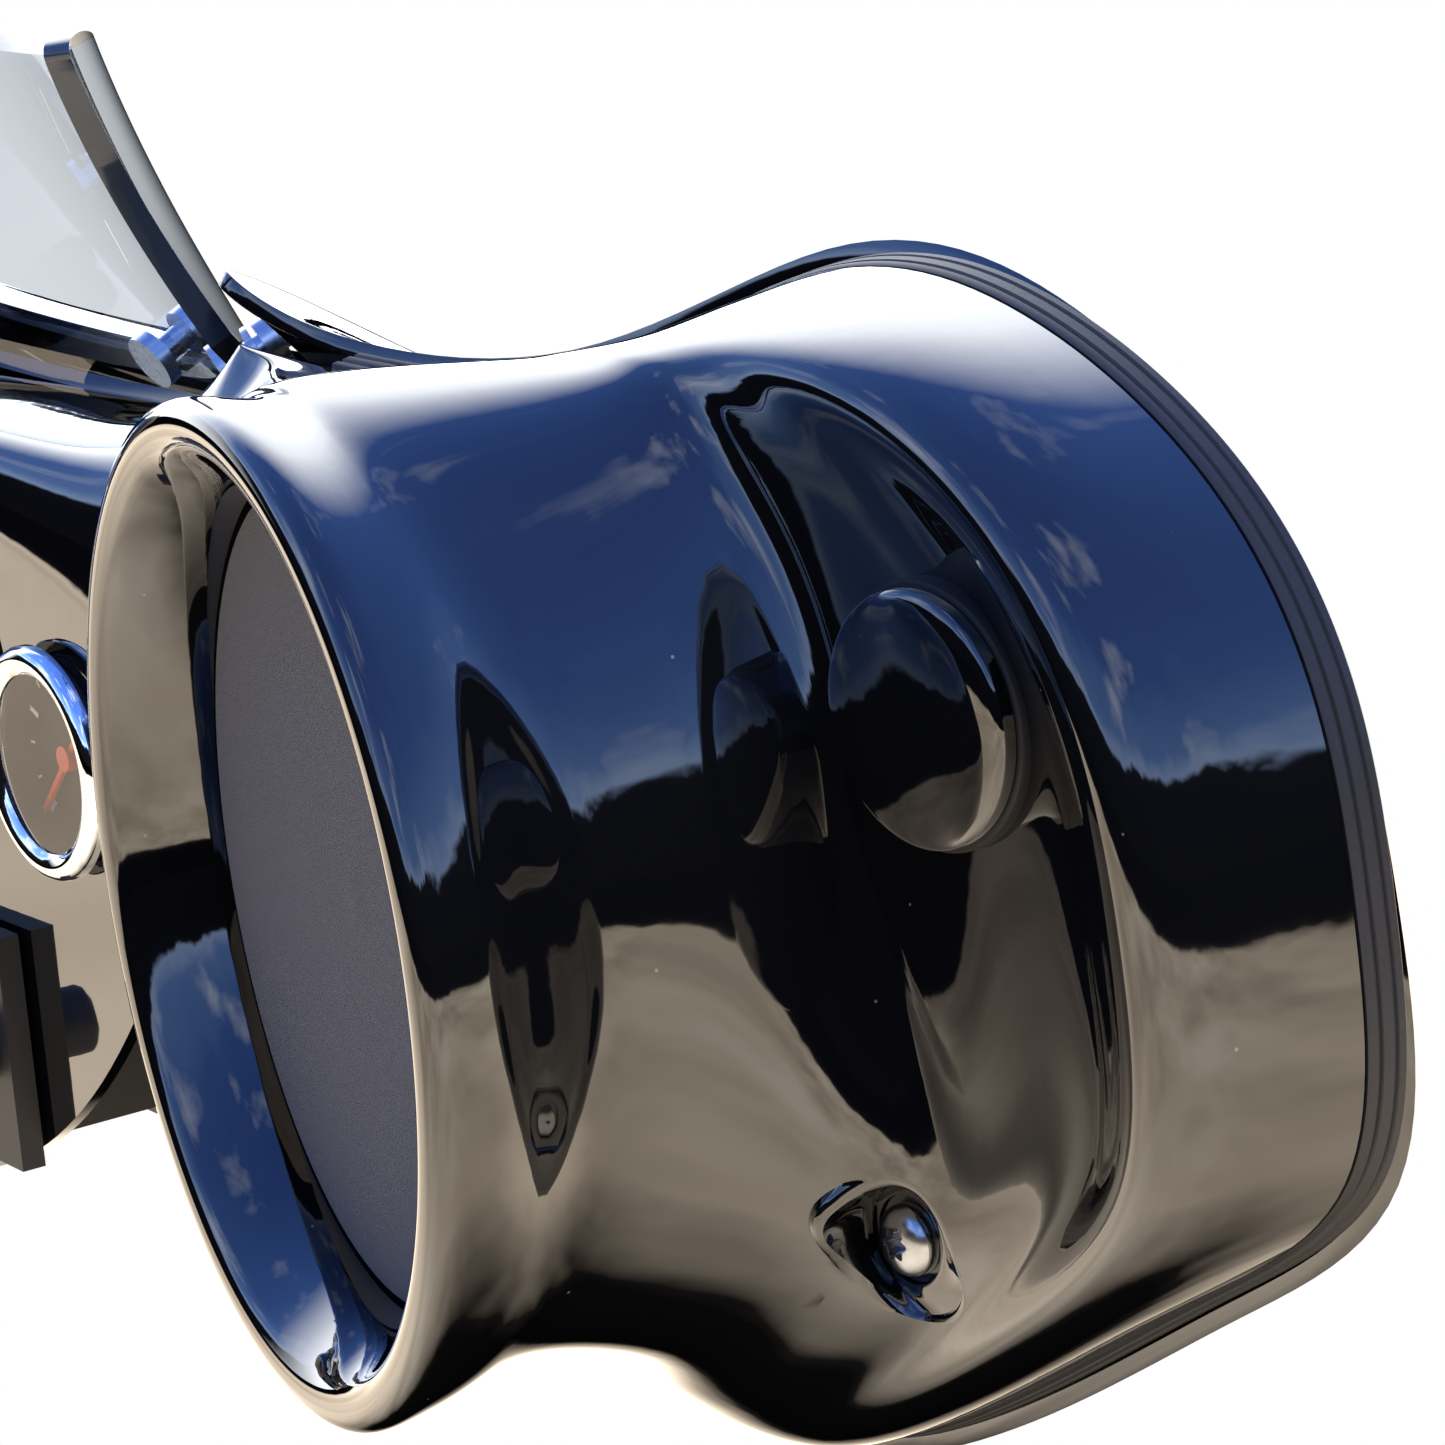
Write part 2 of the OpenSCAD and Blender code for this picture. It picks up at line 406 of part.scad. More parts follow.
module key(k) translate([k[0] - 6, face_y - 6.8, rx_z + k[1] - 6]) cube([12, 3.6, 12]);
module button_up() color("#34363a") from_clamp() key(keys[0]);
module button_down() color("#34363a") from_clamp() key(keys[1]);
module button_mode() color("#34363a") from_clamp() key(keys[2]);
module button_source() color("#34363a") from_clamp() key(keys[3]);

module at_lamp() translate(lamp_c) rotate([-90, 0, 0]) children();
lamp_r = lamp_d / 2;
module headlamp_bucket() color("#202125") from_clamp() at_lamp() difference() {
    translate([0, 0, -62]) cylinder(h = 66, r = lamp_r + 3, $fn = 96);
    translate([0, 0, -60]) cylinder(h = 66, r = lamp_r + 1, $fn = 96);
    translate([0, 0, -70]) cylinder(h = 20, r = 14);
}
module headlamp_reflector() color("#dfe3e8") from_clamp() at_lamp() rotate_extrude($fn = 96)
    polygon([[14, -54], [lamp_r*0.5, -42], [lamp_r*0.8, -22], [lamp_r - 0.6, 1], [lamp_r - 2, 1], [lamp_r*0.8 - 1.6, -20.6],
        [lamp_r*0.5 - 1, -40], [14, -51.6]]);
module headlamp_bulb() color("#e8eef5") from_clamp() at_lamp() {
    translate([0, 0, -66]) cylinder(h = 22, r = 12);
    translate([0, 0, -44]) cylinder(h = 20, r = 5);
}
module headlamp_glass() color([0.85, 0.9, 0.95, 0.3]) from_clamp() at_lamp() rotate_extrude($fn = 96)
    polygon([[0, 16], [lamp_r*0.4, 14.6], [lamp_r*0.75, 10], [lamp_r - 1, 3.6], [lamp_r - 1, 1.2], [lamp_r*0.75, 7], [lamp_r*0.4, 11.6], [0, 13]]);
module headlamp_ring() color("#d8dade") from_clamp() at_lamp() difference() {
    rotate_extrude($fn = 96) polygon([[lamp_r - 0.4, 4.6], [lamp_r + 3.4, 4.6], [lamp_r + 3.4, 3.6], [lamp_r + 12, 3.6], [lamp_r + 11.4, 5.4],
        [lamp_r + 8, 8.6], [lamp_r + 3, 9.6], [lamp_r - 0.4, 7.6]]);
    for (a = [90, 270]) rotate([0, 0, a]) translate([lamp_r + 5, 0, -5]) cylinder(h = 20, r = 1.6);
}
module headlamp_ring_screws() color("#c9ccd1") from_clamp() at_lamp() for (a = [90, 270]) rotate([0, 0, a])
    translate([lamp_r + 5, 0, 0]) {
        translate([0, 0, -6]) cylinder(h = 16, r = 1.5);
        translate([0, 0, 9.7]) cylinder(h = 1.8, r = 3);
    }

module fork_bracket() color("#6d7075") difference() {
    union() {
        translate([-60, -32, 0]) cube([120, 64, 4]);
        for (s = [-1, 1]) {
            translate([s*58 - 2, -22, 3]) cube([4, 44, 125]);
            translate([s*58 - 2, 20, 8]) cube([4, 71, 40]);
        }
        translate([-60, -22, 127]) cube([120, 44, 4]);
        translate([-60, 88.3, 8]) cube([120, 3.5, 40]);
    }
    for (x = [-1, 1]) for (y = [-1, 1]) translate([x*bolt_x/2, y*bolt_y/2, -2]) cylinder(h = 8, d = bolt_d);
    translate([0, 0, 122]) cylinder(h = 12, r = 12);
    translate([0, 85, 28]) rotate([-90, 0, 0]) cylinder(h = 12, r = 15);
    from_clamp() both() rod(harness[1], harness[2], 7);
}
module shell_struts() color("#4b4e53") from_clamp() both() {
    rod([60.4, 58, 34], [196, 50, 44], 5);
    rod([196, 50, 44], [336, 26, 84], 5);
    rod([196, 50, 44], [300, 26, -50], 5);
    translate([196, 50, 44]) sphere(r = 6.2);
}
module strut_bolts() color("#c9ccd1") from_clamp() both() translate([55.6, 58, 34]) rotate([0, -90, 0]) cylinder(h = 5, r = 6, $fn = 6);
harness = [[30, 31, -40], [44, 44, -52], [96, 58, -30], [150, 40, 0], [206, 40, 20], [232, 27, 22]];
module wiring_harness() color("#121214") from_clamp() both() {
    for (k = [0:len(harness)-2]) rod(harness[k], harness[k+1], 4);
    for (k = [1:len(harness)-2]) translate(harness[k]) sphere(r = 4.2);
}

inner_fairing();
outer_fairing();
fairing_gasket();
windshield();
windshield_screws();
mirror_hole_plugs();
plug_seal_rings();
plug_nuts();
shell_screws();
shell_screw_nuts();
speaker_adapter_rings();
grille_frames();
grille_cloths();
speaker_baskets();
speaker_magnets();
speaker_screws();
surround_right();
surround_left();
cone_right();
cone_left();
dust_cap_right();
dust_cap_left();
gauge_housings();
gauge_bezels();
gauge_dials();
gauge_lenses();
speed_needle();
engine_speed_needle();
fuel_needle();
voltage_needle();
receiver_case();
receiver_face();
receiver_screen();
volume_knob();
button_up();
button_down();
button_mode();
button_source();
headlamp_bucket();
headlamp_reflector();
headlamp_bulb();
headlamp_glass();
headlamp_ring();
headlamp_ring_screws();
fork_bracket();
shell_struts();
strut_bolts();
wiring_harness();
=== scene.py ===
# %% [markdown]
# # A fork-mounted fairing with speaker pods
# The real piece is the "batwing" of a touring motorcycle: a moulded inner shell that faces the
# rider, an outer shell that faces the road, a windshield between them, and everything that
# bolts into them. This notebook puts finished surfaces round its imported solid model.

# %% Load the solid model
import bpy
import bmesh
import math
import numpy as np
from mathutils import Matrix, Vector
from mathutils.bvhtree import BVHTree


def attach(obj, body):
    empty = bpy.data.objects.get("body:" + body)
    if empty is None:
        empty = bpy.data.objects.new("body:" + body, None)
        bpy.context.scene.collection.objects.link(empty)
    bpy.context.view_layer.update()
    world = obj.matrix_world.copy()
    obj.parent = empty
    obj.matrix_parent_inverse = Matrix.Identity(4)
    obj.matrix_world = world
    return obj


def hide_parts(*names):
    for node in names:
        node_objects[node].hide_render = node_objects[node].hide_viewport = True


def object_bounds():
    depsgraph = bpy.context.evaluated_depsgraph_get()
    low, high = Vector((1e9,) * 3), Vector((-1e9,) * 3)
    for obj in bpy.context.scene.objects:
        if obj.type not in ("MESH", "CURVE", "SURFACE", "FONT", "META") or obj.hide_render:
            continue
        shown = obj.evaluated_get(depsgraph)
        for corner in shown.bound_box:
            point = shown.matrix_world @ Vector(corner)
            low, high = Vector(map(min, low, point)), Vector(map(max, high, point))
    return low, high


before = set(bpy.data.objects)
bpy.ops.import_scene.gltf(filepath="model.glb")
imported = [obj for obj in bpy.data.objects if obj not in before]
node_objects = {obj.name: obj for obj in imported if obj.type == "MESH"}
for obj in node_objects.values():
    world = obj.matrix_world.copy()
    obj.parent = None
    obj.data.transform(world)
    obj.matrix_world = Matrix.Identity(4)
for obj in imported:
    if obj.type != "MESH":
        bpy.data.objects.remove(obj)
cad_low, cad_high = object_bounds()
scene = bpy.context.scene
print(len(node_objects), "solid pieces loaded")

# %% [markdown]
# ## Camera, floor and light
# A long lens close to the rider's right hand looks down a little on the right pod. The paint is
# a black mirror, so the light is built for what it shows in the paint: a blue panel above, dark
# flags round the horizon and a bright warm floor below.

# %% Camera
camera_data = bpy.data.cameras.new("camera")
camera_data.sensor_width = 36
camera_data.lens = 134.5
camera = bpy.data.objects.new("camera", camera_data)
scene.collection.objects.link(camera)
camera.matrix_world = Matrix((
    (0.560250, -0.154652, 0.813758, 1.01965),
    (0.823996, 0.204354, -0.528461, -0.52909),
    (-0.084567, 0.966603, 0.241922, 0.35258),
    (0, 0, 0, 1)))
scene.camera = camera
scene.view_settings.view_transform = "Standard"
scene.view_settings.look = "None"

# %% Small helpers for nodes and colours
def linear(code, alpha=1.0):
    """An sRGB hex colour as linear numbers."""
    parts = [int(code[i:i + 2], 16) / 255 for i in (1, 3, 5)]
    return [c / 12.92 if c <= 0.04045 else ((c + 0.055) / 1.055) ** 2.4 for c in parts] + [alpha]


def add(tree, kind, inputs=None, **settings):
    """One node with its settings; an input that is a socket is linked, any other is set."""
    made = tree.nodes.new(kind)
    for name, value in settings.items():
        setattr(made, name, value)
    for name, value in (inputs or {}).items():
        if isinstance(value, bpy.types.NodeSocket):
            tree.links.new(value, made.inputs[name])
        else:
            made.inputs[name].default_value = value
    return made


def finish_named(name, **surface):
    """A new material; surface sets the shader's own sockets, with spaces as underscores."""
    made = bpy.data.materials.new(name)
    made.use_nodes = True
    tree = made.node_tree
    shader = tree.nodes["Principled BSDF"]
    for key, value in surface.items():
        shader.inputs[key.replace("_", " ")].default_value = value
    return made, tree, shader


def ramp(tree, factor, stops):
    """A colour ramp with the given (place, grey or colour) stops."""
    made = add(tree, "ShaderNodeValToRGB", {"Fac": factor})
    while len(made.color_ramp.elements) < len(stops):
        made.color_ramp.elements.new(0.5)
    for element, (place, value) in zip(made.color_ramp.elements, stops):
        element.position = place
        element.color = value if isinstance(value, (list, tuple)) else (value, value, value, 1)
    return made


# %% Light round the object
# Dark along a ragged skyline, blue with thin cloud above, almost white on the far side, so that
# surfaces at a shallow angle shine white. The camera itself sees plain white.
FAR_SIDE = (-0.84, 0.54, 0.0)
SKY_STRENGTH = 3.8
world = bpy.data.worlds.new("studio")
scene.world = world
world.use_nodes = True
sky = world.node_tree
direction = add(sky, "ShaderNodeTexCoord").outputs["Generated"]
height = add(sky, "ShaderNodeSeparateXYZ", {"Vector": direction}).outputs["Z"]
ragged = add(sky, "ShaderNodeTexNoise", {"Vector": direction, "Scale": 3.2, "Detail": 4.0}).outputs["Fac"]
lift = add(sky, "ShaderNodeMath", {0: ragged, 1: 0.34}, operation="MULTIPLY").outputs[0]
level = add(sky, "ShaderNodeMath", {0: height, 1: lift}, operation="SUBTRACT").outputs[0]
panel = ramp(sky, level, [
    (0.0, linear("#070708")), (0.10, linear("#0b0c0d")), (0.13, linear("#8ca3cc")),
    (0.22, linear("#5c7cb6")), (0.5, linear("#3d5c9e")), (1.0, linear("#2b4687"))])
cloud = add(sky, "ShaderNodeTexNoise", {"Vector": direction, "Scale": 2.6, "Detail": 5.0}).outputs["Fac"]
cloud = ramp(sky, cloud, [(0.56, 0.0), (0.72, 0.5)]).outputs["Color"]
above = ramp(sky, level, [(0.12, 0.0), (0.2, 1.0)]).outputs["Color"]
cloud = add(sky, "ShaderNodeMath", {0: cloud, 1: above}, operation="MULTIPLY").outputs[0]
cloudy = add(sky, "ShaderNodeMix",
             {"Factor": cloud, "A": panel.outputs["Color"], "B": linear("#dfe5f2")}, data_type="RGBA")
backdrop = sky.nodes["Background"]
behind = add(sky, "ShaderNodeVectorMath", {0: direction, 1: FAR_SIDE}, operation="DOT_PRODUCT")
behind = ramp(sky, behind.outputs["Value"], [(0.55, 0.0), (0.8, 1.0)]).outputs["Color"]
bright = add(sky, "ShaderNodeMix",
             {"Factor": behind, "A": cloudy.outputs["Result"], "B": linear("#eef2fa")}, data_type="RGBA")
sky.links.new(bright.outputs["Result"], backdrop.inputs["Color"])
backdrop.inputs["Strength"].default_value = SKY_STRENGTH
white = add(sky, "ShaderNodeBackground", {"Color": (1, 1, 1, 1), "Strength": 1.0})
seen = add(sky, "ShaderNodeLightPath").outputs["Is Camera Ray"]
chosen = add(sky, "ShaderNodeMixShader", {0: seen, 1: backdrop.outputs[0], 2: white.outputs[0]})
sky.links.new(chosen.outputs[0], sky.nodes["World Output"].inputs["Surface"])

# %% Floor
# Lit in a wide ring: in shadow close in and dark far off, as the lower half of the paint shows.
FLOOR_SIZE, FLOOR_GAP, FLOOR_GLOW = 90, 0.3, 4.6
bpy.ops.object.select_all(action="DESELECT")
bpy.ops.mesh.primitive_plane_add(size=FLOOR_SIZE, location=(0, 0, cad_low.z - FLOOR_GAP))
floor = bpy.context.object
floor.name = "floor"
floor_paint, floor_tree = finish_named("pale_floor")[:2]
ground = add(floor_tree, "ShaderNodeTexCoord").outputs["Object"]
patches = add(floor_tree, "ShaderNodeTexNoise",
              {"Vector": ground, "Scale": 0.9, "Detail": 3.0}).outputs["Fac"]
sand = ramp(floor_tree, patches,
            [(0.35, linear("#9a8d7c")), (0.55, linear("#b8aa98")), (0.7, linear("#c6baa9"))])
away = add(floor_tree, "ShaderNodeVectorMath", {0: ground}, operation="LENGTH").outputs["Value"]
ragged_rim = add(floor_tree, "ShaderNodeTexNoise",
                 {"Vector": ground, "Scale": 1.1, "Detail": 4.0}).outputs["Fac"]
away = add(floor_tree, "ShaderNodeMath", {0: away, 1: ragged_rim}, operation="ADD").outputs[0]
away = add(floor_tree, "ShaderNodeMath", {0: away, 1: 0.1}, operation="MULTIPLY").outputs[0]
lit = ramp(floor_tree, away, [(0.07, 0.0), (0.11, 1.0), (0.40, 1.0), (0.43, 0.0)]).outputs["Color"]
lit = add(floor_tree, "ShaderNodeMath", {0: lit, 1: FLOOR_GLOW}, operation="MULTIPLY").outputs[0]
glow = add(floor_tree, "ShaderNodeEmission", {"Color": sand.outputs["Color"], "Strength": lit})
paper = add(floor_tree, "ShaderNodeEmission", {"Color": (1, 1, 1, 1), "Strength": 1.0})
looked_at = add(floor_tree, "ShaderNodeLightPath").outputs["Is Camera Ray"]
floor_mix = add(floor_tree, "ShaderNodeMixShader", {0: looked_at, 1: glow.outputs[0], 2: paper.outputs[0]})
floor_tree.links.new(floor_mix.outputs[0], floor_tree.nodes["Material Output"].inputs["Surface"])
floor.data.materials.append(floor_paint)


# %% Key light
def soft_light(name, place, aim, size, power, colour):
    """A square soft box that points at aim and is not seen itself by the camera."""
    data = bpy.data.lights.new(name, "AREA")
    data.shape, data.size, data.energy, data.color = "SQUARE", size, power, linear(colour)[:3]
    lamp = bpy.data.objects.new(name, data)
    scene.collection.objects.link(lamp)
    lamp.location = place
    lamp.rotation_mode = "QUATERNION"
    lamp.rotation_quaternion = (Vector(aim) - Vector(place)).to_track_quat("-Z", "Y")
    lamp.visible_camera = False
    lamp.visible_glossy = False
    return lamp


soft_light("key_light", (2.6, 0.6, 4.2), (0.2, 0, 0), 1.2, 260, "#fff6ea")
print("camera, floor and lights ready")

# %% [markdown]
# ## The inner shell's surface
# The rider's side is one moulding. Its face runs from inside each pod, round the lip, over the
# pod's body, a ridge, a valley and a last roll to the rim. Loops of guide points follow those
# lines, as a clay modeller's tapes would, and a cubic spline through them gives a skin with no
# creases. Hand tools can't give so free a skin, so it is computed as a fine grid.

# %% Guide loops, in millimetres from a point between the pods
CLAMP = np.array([0, 60, -84.0])
POD = np.array([236, -60, 22.0])
POD_TURN = math.radians(11)
LIP_RADIUS = 81
around = [0, 20, 40, 60, 80, 97, 112, 127, 142, 156, 170, 184, 198, 212, 228, 246, 266, 288, 311, 336]
lip = [(-9, 23), (-7.5, 12), (-2, 3), (0.3, 0), (5.5, -0.5), (8.5, 2.5), (7.5, 8), (5, 18)]
body_loop = [(316,-42,24), (312,-42,54), (297,-42,81), (275,-42,103), (250,-40,112), (227,-40,112),
    (205,-38,104), (187,-34,90), (173,-32,78), (162,-31,66), (157,-31,48), (155,-31,24), (156,-28,2),
    (160,-20,-18), (174,-14,-38), (198,-10,-54), (234,-20,-62), (266,-34,-56), (294,-40,-40), (312,-42,-12)]
ridge_loop = [(325,-12,26), (320,-12,56), (305,-10,84), (283,-8,106), (254,-12,113), (224,-22,110),
    (199,-26,104), (182,-26,93), (166,-28,82), (156,-29,68), (150,-30,46), (149,-30,20), (152,-26,-4),
    (158,-10,-24), (172,0,-46), (200,4,-64), (240,4,-72), (278,-6,-62), (308,-10,-42), (324,-12,-14)]
wall_loop = [(316,11.5,29), (314,11.5,58), (303,10,85), (292,3,108), (258,0,113), (220,-10,105),
    (188,-18,104), (178,-20,95), (162,-26,83), (153,-29,70), (147,-30,45), (147,-30,14), (149,-28,-6),
    (156,-4,-26), (170,8,-50), (200,14,-74), (244,14,-86), (290,2,-68), (328,0,-38), (338,8,-14)]
valley_loop = [(376,14,31), (374,14,62), (348,14,90), (308,6,112), (263,10,115), (217,0,101),
    (178,-10,104), (174,-14,98), (159,-24,84), (151,-28,71), (145,-30,45), (146,-30,8), (147,-29,-8),
    (154,2,-28), (169,14,-52), (200,22,-82), (246,22,-94), (298,10,-72), (350,10,-34), (384,12,-8)]
crown_loop = [(395,1,32), (388,1,66), (367,2,97), (322,6,118), (268,20,117), (215,8,97),
    (170,-8,104), (172,-8,100), (157,-22,85), (150,-27,72), (144,-30,45), (146,-30,4), (146,-30,-8),
    (153,8,-29), (168,17,-53), (200,28,-86), (246,30,-99), (302,14,-76), (356,6,-42), (396,3,-10)]
roll_loop = [(406,12,32), (400,12,67), (376,14,99), (328,22,122), (270,32,122), (214,18,93),
    (162,-7,104), (169,-5,103), (155,-21,86), (149,-26,73), (143,-30,45), (146,-30,0), (146,-30,-8),
    (152,12,-30), (167,19,-54), (200,32,-90), (246,36,-103), (305,26,-77), (362,18,-44), (406,14,-16)]
rim_loop = [(408,40,32), (403,40,68), (378,42,99), (326,44,122), (269,44,125), (213,26,90),
    (156,-6,104), (156,-6,104), (156,-6,104), (150,-27,74), (142,-30,45), (145,-30,-8), (145,-30,-8),
    (145,-30,-8), (166,22,-55), (200,36,-92), (246,40,-104), (306,40,-76), (360,40,-42), (410,40,-16)]
# Middle of the deck and dash on the centre line, front to back and then down: y, z
dash_middle = [(62,64), (52,67), (32,73), (4,80), (-24,85), (-32,76), (-31,55), (-31,30), (-31,0),
    (-31,-40), (-31,-78)]
SEAT_DROP = [3.5, 3.5, 1.5]
LINES = len(around)


def placed(points):
    """From the shell's own millimetres to metres from the bracket's bolts."""
    return (np.asarray(points, float) - CLAMP) / 1000


def cubic(t):
    """Weights of the four guide points round a place on a uniform cubic spline."""
    return np.array([(1 - t) ** 3, 3 * t**3 - 6 * t**2 + 4, -3 * t**3 + 3 * t**2 + 3 * t + 1, t**3]) / 6


def round_loop(loop, places):
    """Points of a closed loop's spline at the given places, counted in guide points."""
    loop = np.asarray(loop, float)
    first = np.floor(places).astype(int)
    weights = cubic(places - first)
    return sum(weights[k][:, None] * loop[(first - 1 + k) % len(loop)] for k in range(4))


def lip_loop(extra, depth):
    points = []
    for m, angle in enumerate(around):
        half_gap = (around[(m + 1) % LINES] - around[m - 1] + 360) % 360 / 2
        radius = (LIP_RADIUS + extra) * 3 / (2 + math.cos(math.radians(half_gap)))
        c, s = math.cos(math.radians(angle)), math.sin(math.radians(angle))
        points.append(POD + [radius * c * math.cos(POD_TURN) + depth * math.sin(POD_TURN),
                             -radius * c * math.sin(POD_TURN) + depth * math.cos(POD_TURN), radius * s])
    return points


floor_loop = [(np.array(a) + b) / 2 - [0, SEAT_DROP[m] if m < 3 else 0, 0]
              for m, (a, b) in enumerate(zip(wall_loop, valley_loop))]
loops = [lip_loop(*c) for c in lip] + [
    body_loop, ridge_loop, wall_loop, floor_loop, valley_loop, crown_loop, roll_loop, rim_loop]
net = np.array([np.asarray(p, float) for p in loops])
net = np.concatenate([[2 * net[0] - net[1]], net, [2 * net[-1] - net[-2]]])
ROWS = len(loops)


def skin(us, vs):
    """Grid of points of the right half's face: rows at vs (0 in the pod, last at the rim)."""
    rows = np.array([round_loop(r, us) for r in net])
    out = []
    for v in vs:
        j = min(int(v), ROWS - 2)
        out.append(np.tensordot(cubic(v - j), rows[j:j + 4], 1))
    return np.array(out)


print(ROWS, "guide loops of", LINES, "points")

# %% Grid of the right half
STEPS = 12
us = np.arange(LINES * STEPS) / STEPS
vs = np.concatenate([np.arange(0, 7, 0.25), np.arange(7, ROWS - 1 + 0.001, 1 / 7)])
right_grid = skin(us, vs)
SEAM_FROM, SEAM_TO = 7 * STEPS, 12 * STEPS
ACROSS = 64


def smooth_through(points, places):
    """A smooth curve that passes through every one of the points."""
    p = np.asarray(points, float)
    p = np.concatenate([[2 * p[0] - p[1]], p, [2 * p[-1] - p[-2]]])
    out = []
    for x in places:
        i = min(int(x), len(p) - 4)
        t = x - i
        a, b, c, d = p[i:i + 4]
        out.append(0.5 * (2 * b + (c - a) * t + (2 * a - 5 * b + 4 * c - d) * t**2
                          + (3 * b - a - 3 * c + d) * t**3))
    return np.array(out)


seam = right_grid[-1][SEAM_FROM:SEAM_TO + 1]
place_down = np.linspace(0, 10, SEAM_TO - SEAM_FROM + 1)
middle = smooth_through(dash_middle, place_down)
ts = np.linspace(1, -1, ACROSS + 1)
dash_grid = []
for r, s, (my, mz) in zip(place_down, seam, middle):
    bulge = np.maximum(1 - ts**2, 0) ** 1.6
    dash_grid.append(np.stack(
        [s[0] * ts, s[1] + (my - s[1]) * bulge, s[2] + (mz - s[2]) * (1 - abs(ts) ** 2.6)], 1))
dash_grid = np.array(dash_grid)
print("grid", right_grid.shape, "dash", dash_grid.shape)

# %% [markdown]
# ## Screw wells and instrument holes
# The moulding dips into a smooth oval well round each screw, with a stepped round seat at its
# bottom. The grid is opened there and a ring of fine mesh is bridged in, so the well's rounded
# edge flows out of the skin. Plain holes are cut later, where a bezel or cap hides their edge.

# %% Let a well into the right half
SCREW = np.array([328, 3, -31.0])
PLUG = np.array([345, 4.6, 60.6])
REAR_TURN = math.radians(5)
REAR = np.array([[math.cos(REAR_TURN), 0, math.sin(REAR_TURN)],
                 [math.sin(REAR_TURN), 0, -math.cos(REAR_TURN)], [0, 1, 0]])
WELL_FLOOR = -5.0


def grid_faces(rows, columns, closed, start=0, flip=False):
    faces = []
    for j in range(rows - 1):
        for i in range(columns if closed else columns - 1):
            k = (i + 1) % columns
            q = (j * columns + i, j * columns + k, (j + 1) * columns + k, (j + 1) * columns + i)
            faces.append(tuple(start + n for n in (q[::-1] if flip else q)))
    return faces


half = bmesh.new()
for p in right_grid.reshape(-1, 3):
    half.verts.new(p)
half.verts.ensure_lookup_table()
for f in grid_faces(len(vs), len(us), True):
    half.faces.new([half.verts[n] for n in f])
half.normal_update()
face_tree = BVHTree.FromBMesh(half)


def seat_height(centre, x, y):
    """How far the skin stands above a seat's centre, along the seat's axis, at local x, y."""
    start = centre + REAR @ np.array([x, y, 45.0])
    hit = face_tree.ray_cast(Vector(start), Vector(-REAR[:, 2]), 80)[0]
    return float((np.array(hit) - centre) @ REAR[:, 2])


WELL_EDGE, WELL_REACH = 12.2, 17.5
MOUTH_SHIFT = 3.0
turns = np.linspace(0, 2 * math.pi, 96, endpoint=False)
rings = []
for share in np.linspace(1, 0, 7):
    rings.append(("skin", share))
for share in np.linspace(0, 1, 6)[1:]:
    rings.append(("edge", share))
for share in np.linspace(0, 1, 5)[1:]:
    rings.append(("wall", share))
rings += [("flat", (8.8, 0)), ("flat", (8.1, 0)), ("flat", (7.7, -0.1)), ("flat", (7.6, -0.4)),
          ("flat", (7.6, -1.1)), ("flat", (7.4, -1.2)), ("flat", (3.3, -1.2))]
EDGE_ROUND = 2.0
patch = []
for kind, value in rings:
    row = []
    for a in turns:
        mouth = WELL_EDGE + 1.2 * math.cos(2 * (a + math.radians(75)))
        reach = WELL_REACH
        low_r = 9.2
        if kind == "skin":
            r = mouth + (reach - mouth) * value
            z = seat_height(SCREW, MOUTH_SHIFT + r * math.cos(a), r * math.sin(a))
        else:
            top = seat_height(SCREW, MOUTH_SHIFT + mouth * math.cos(a), mouth * math.sin(a))
            further = mouth + 1
            slope = seat_height(SCREW, MOUTH_SHIFT + further * math.cos(a), further * math.sin(a)) - top
            turn_end = math.radians(66)
            start = math.atan(-slope)
            if kind == "edge":
                t = start + (turn_end - start) * value
                r = mouth - EDGE_ROUND * (math.sin(t) - math.sin(start))
                z = top - EDGE_ROUND * (math.cos(start) - math.cos(t))
            else:
                r1 = mouth - EDGE_ROUND * (math.sin(turn_end) - math.sin(start))
                z1 = top - EDGE_ROUND * (math.cos(start) - math.cos(turn_end))
                if kind == "wall":
                    bend = value**0.8
                    r = r1 + (low_r - r1) * value
                    z = z1 + (WELL_FLOOR - z1) * bend
                else:
                    r, z = value[0], WELL_FLOOR + value[1]
        if kind == "wall":
            shift = MOUTH_SHIFT * (1 - value)
        else:
            shift = 0 if kind == "flat" else MOUTH_SHIFT
        row.append(SCREW + REAR @ np.array([shift + r * math.cos(a), r * math.sin(a), z]))
    patch.append(row)
patch = np.array(patch)

gone = []
for v in half.verts:
    local = REAR.T @ (np.array(v.co) - SCREW)
    if math.hypot(local[0] - MOUTH_SHIFT, local[1]) < WELL_REACH + 0.8 and abs(local[2]) < 30:
        gone.append(v)
bmesh.ops.delete(half, geom=gone, context="VERTS")
ragged_edge = [e for e in half.edges if len(e.link_faces) == 1
               and (e.verts[0].co - Vector(SCREW)).length < 45]
ring_verts = [[half.verts.new(p) for p in row] for row in patch]
count = len(turns)
for upper, lower in zip(ring_verts, ring_verts[1:]):
    for i in range(count):
        k = (i + 1) % count
        half.faces.new((upper[i], upper[k], lower[k], lower[i]))
outer_edges = [e for e in half.edges if len(e.link_faces) == 1
               and all(v in set(ring_verts[0]) for v in e.verts)]
bmesh.ops.bridge_loops(half, edges=ragged_edge + outer_edges)
print("well let in:", len(gone), "points replaced by", count * len(rings))

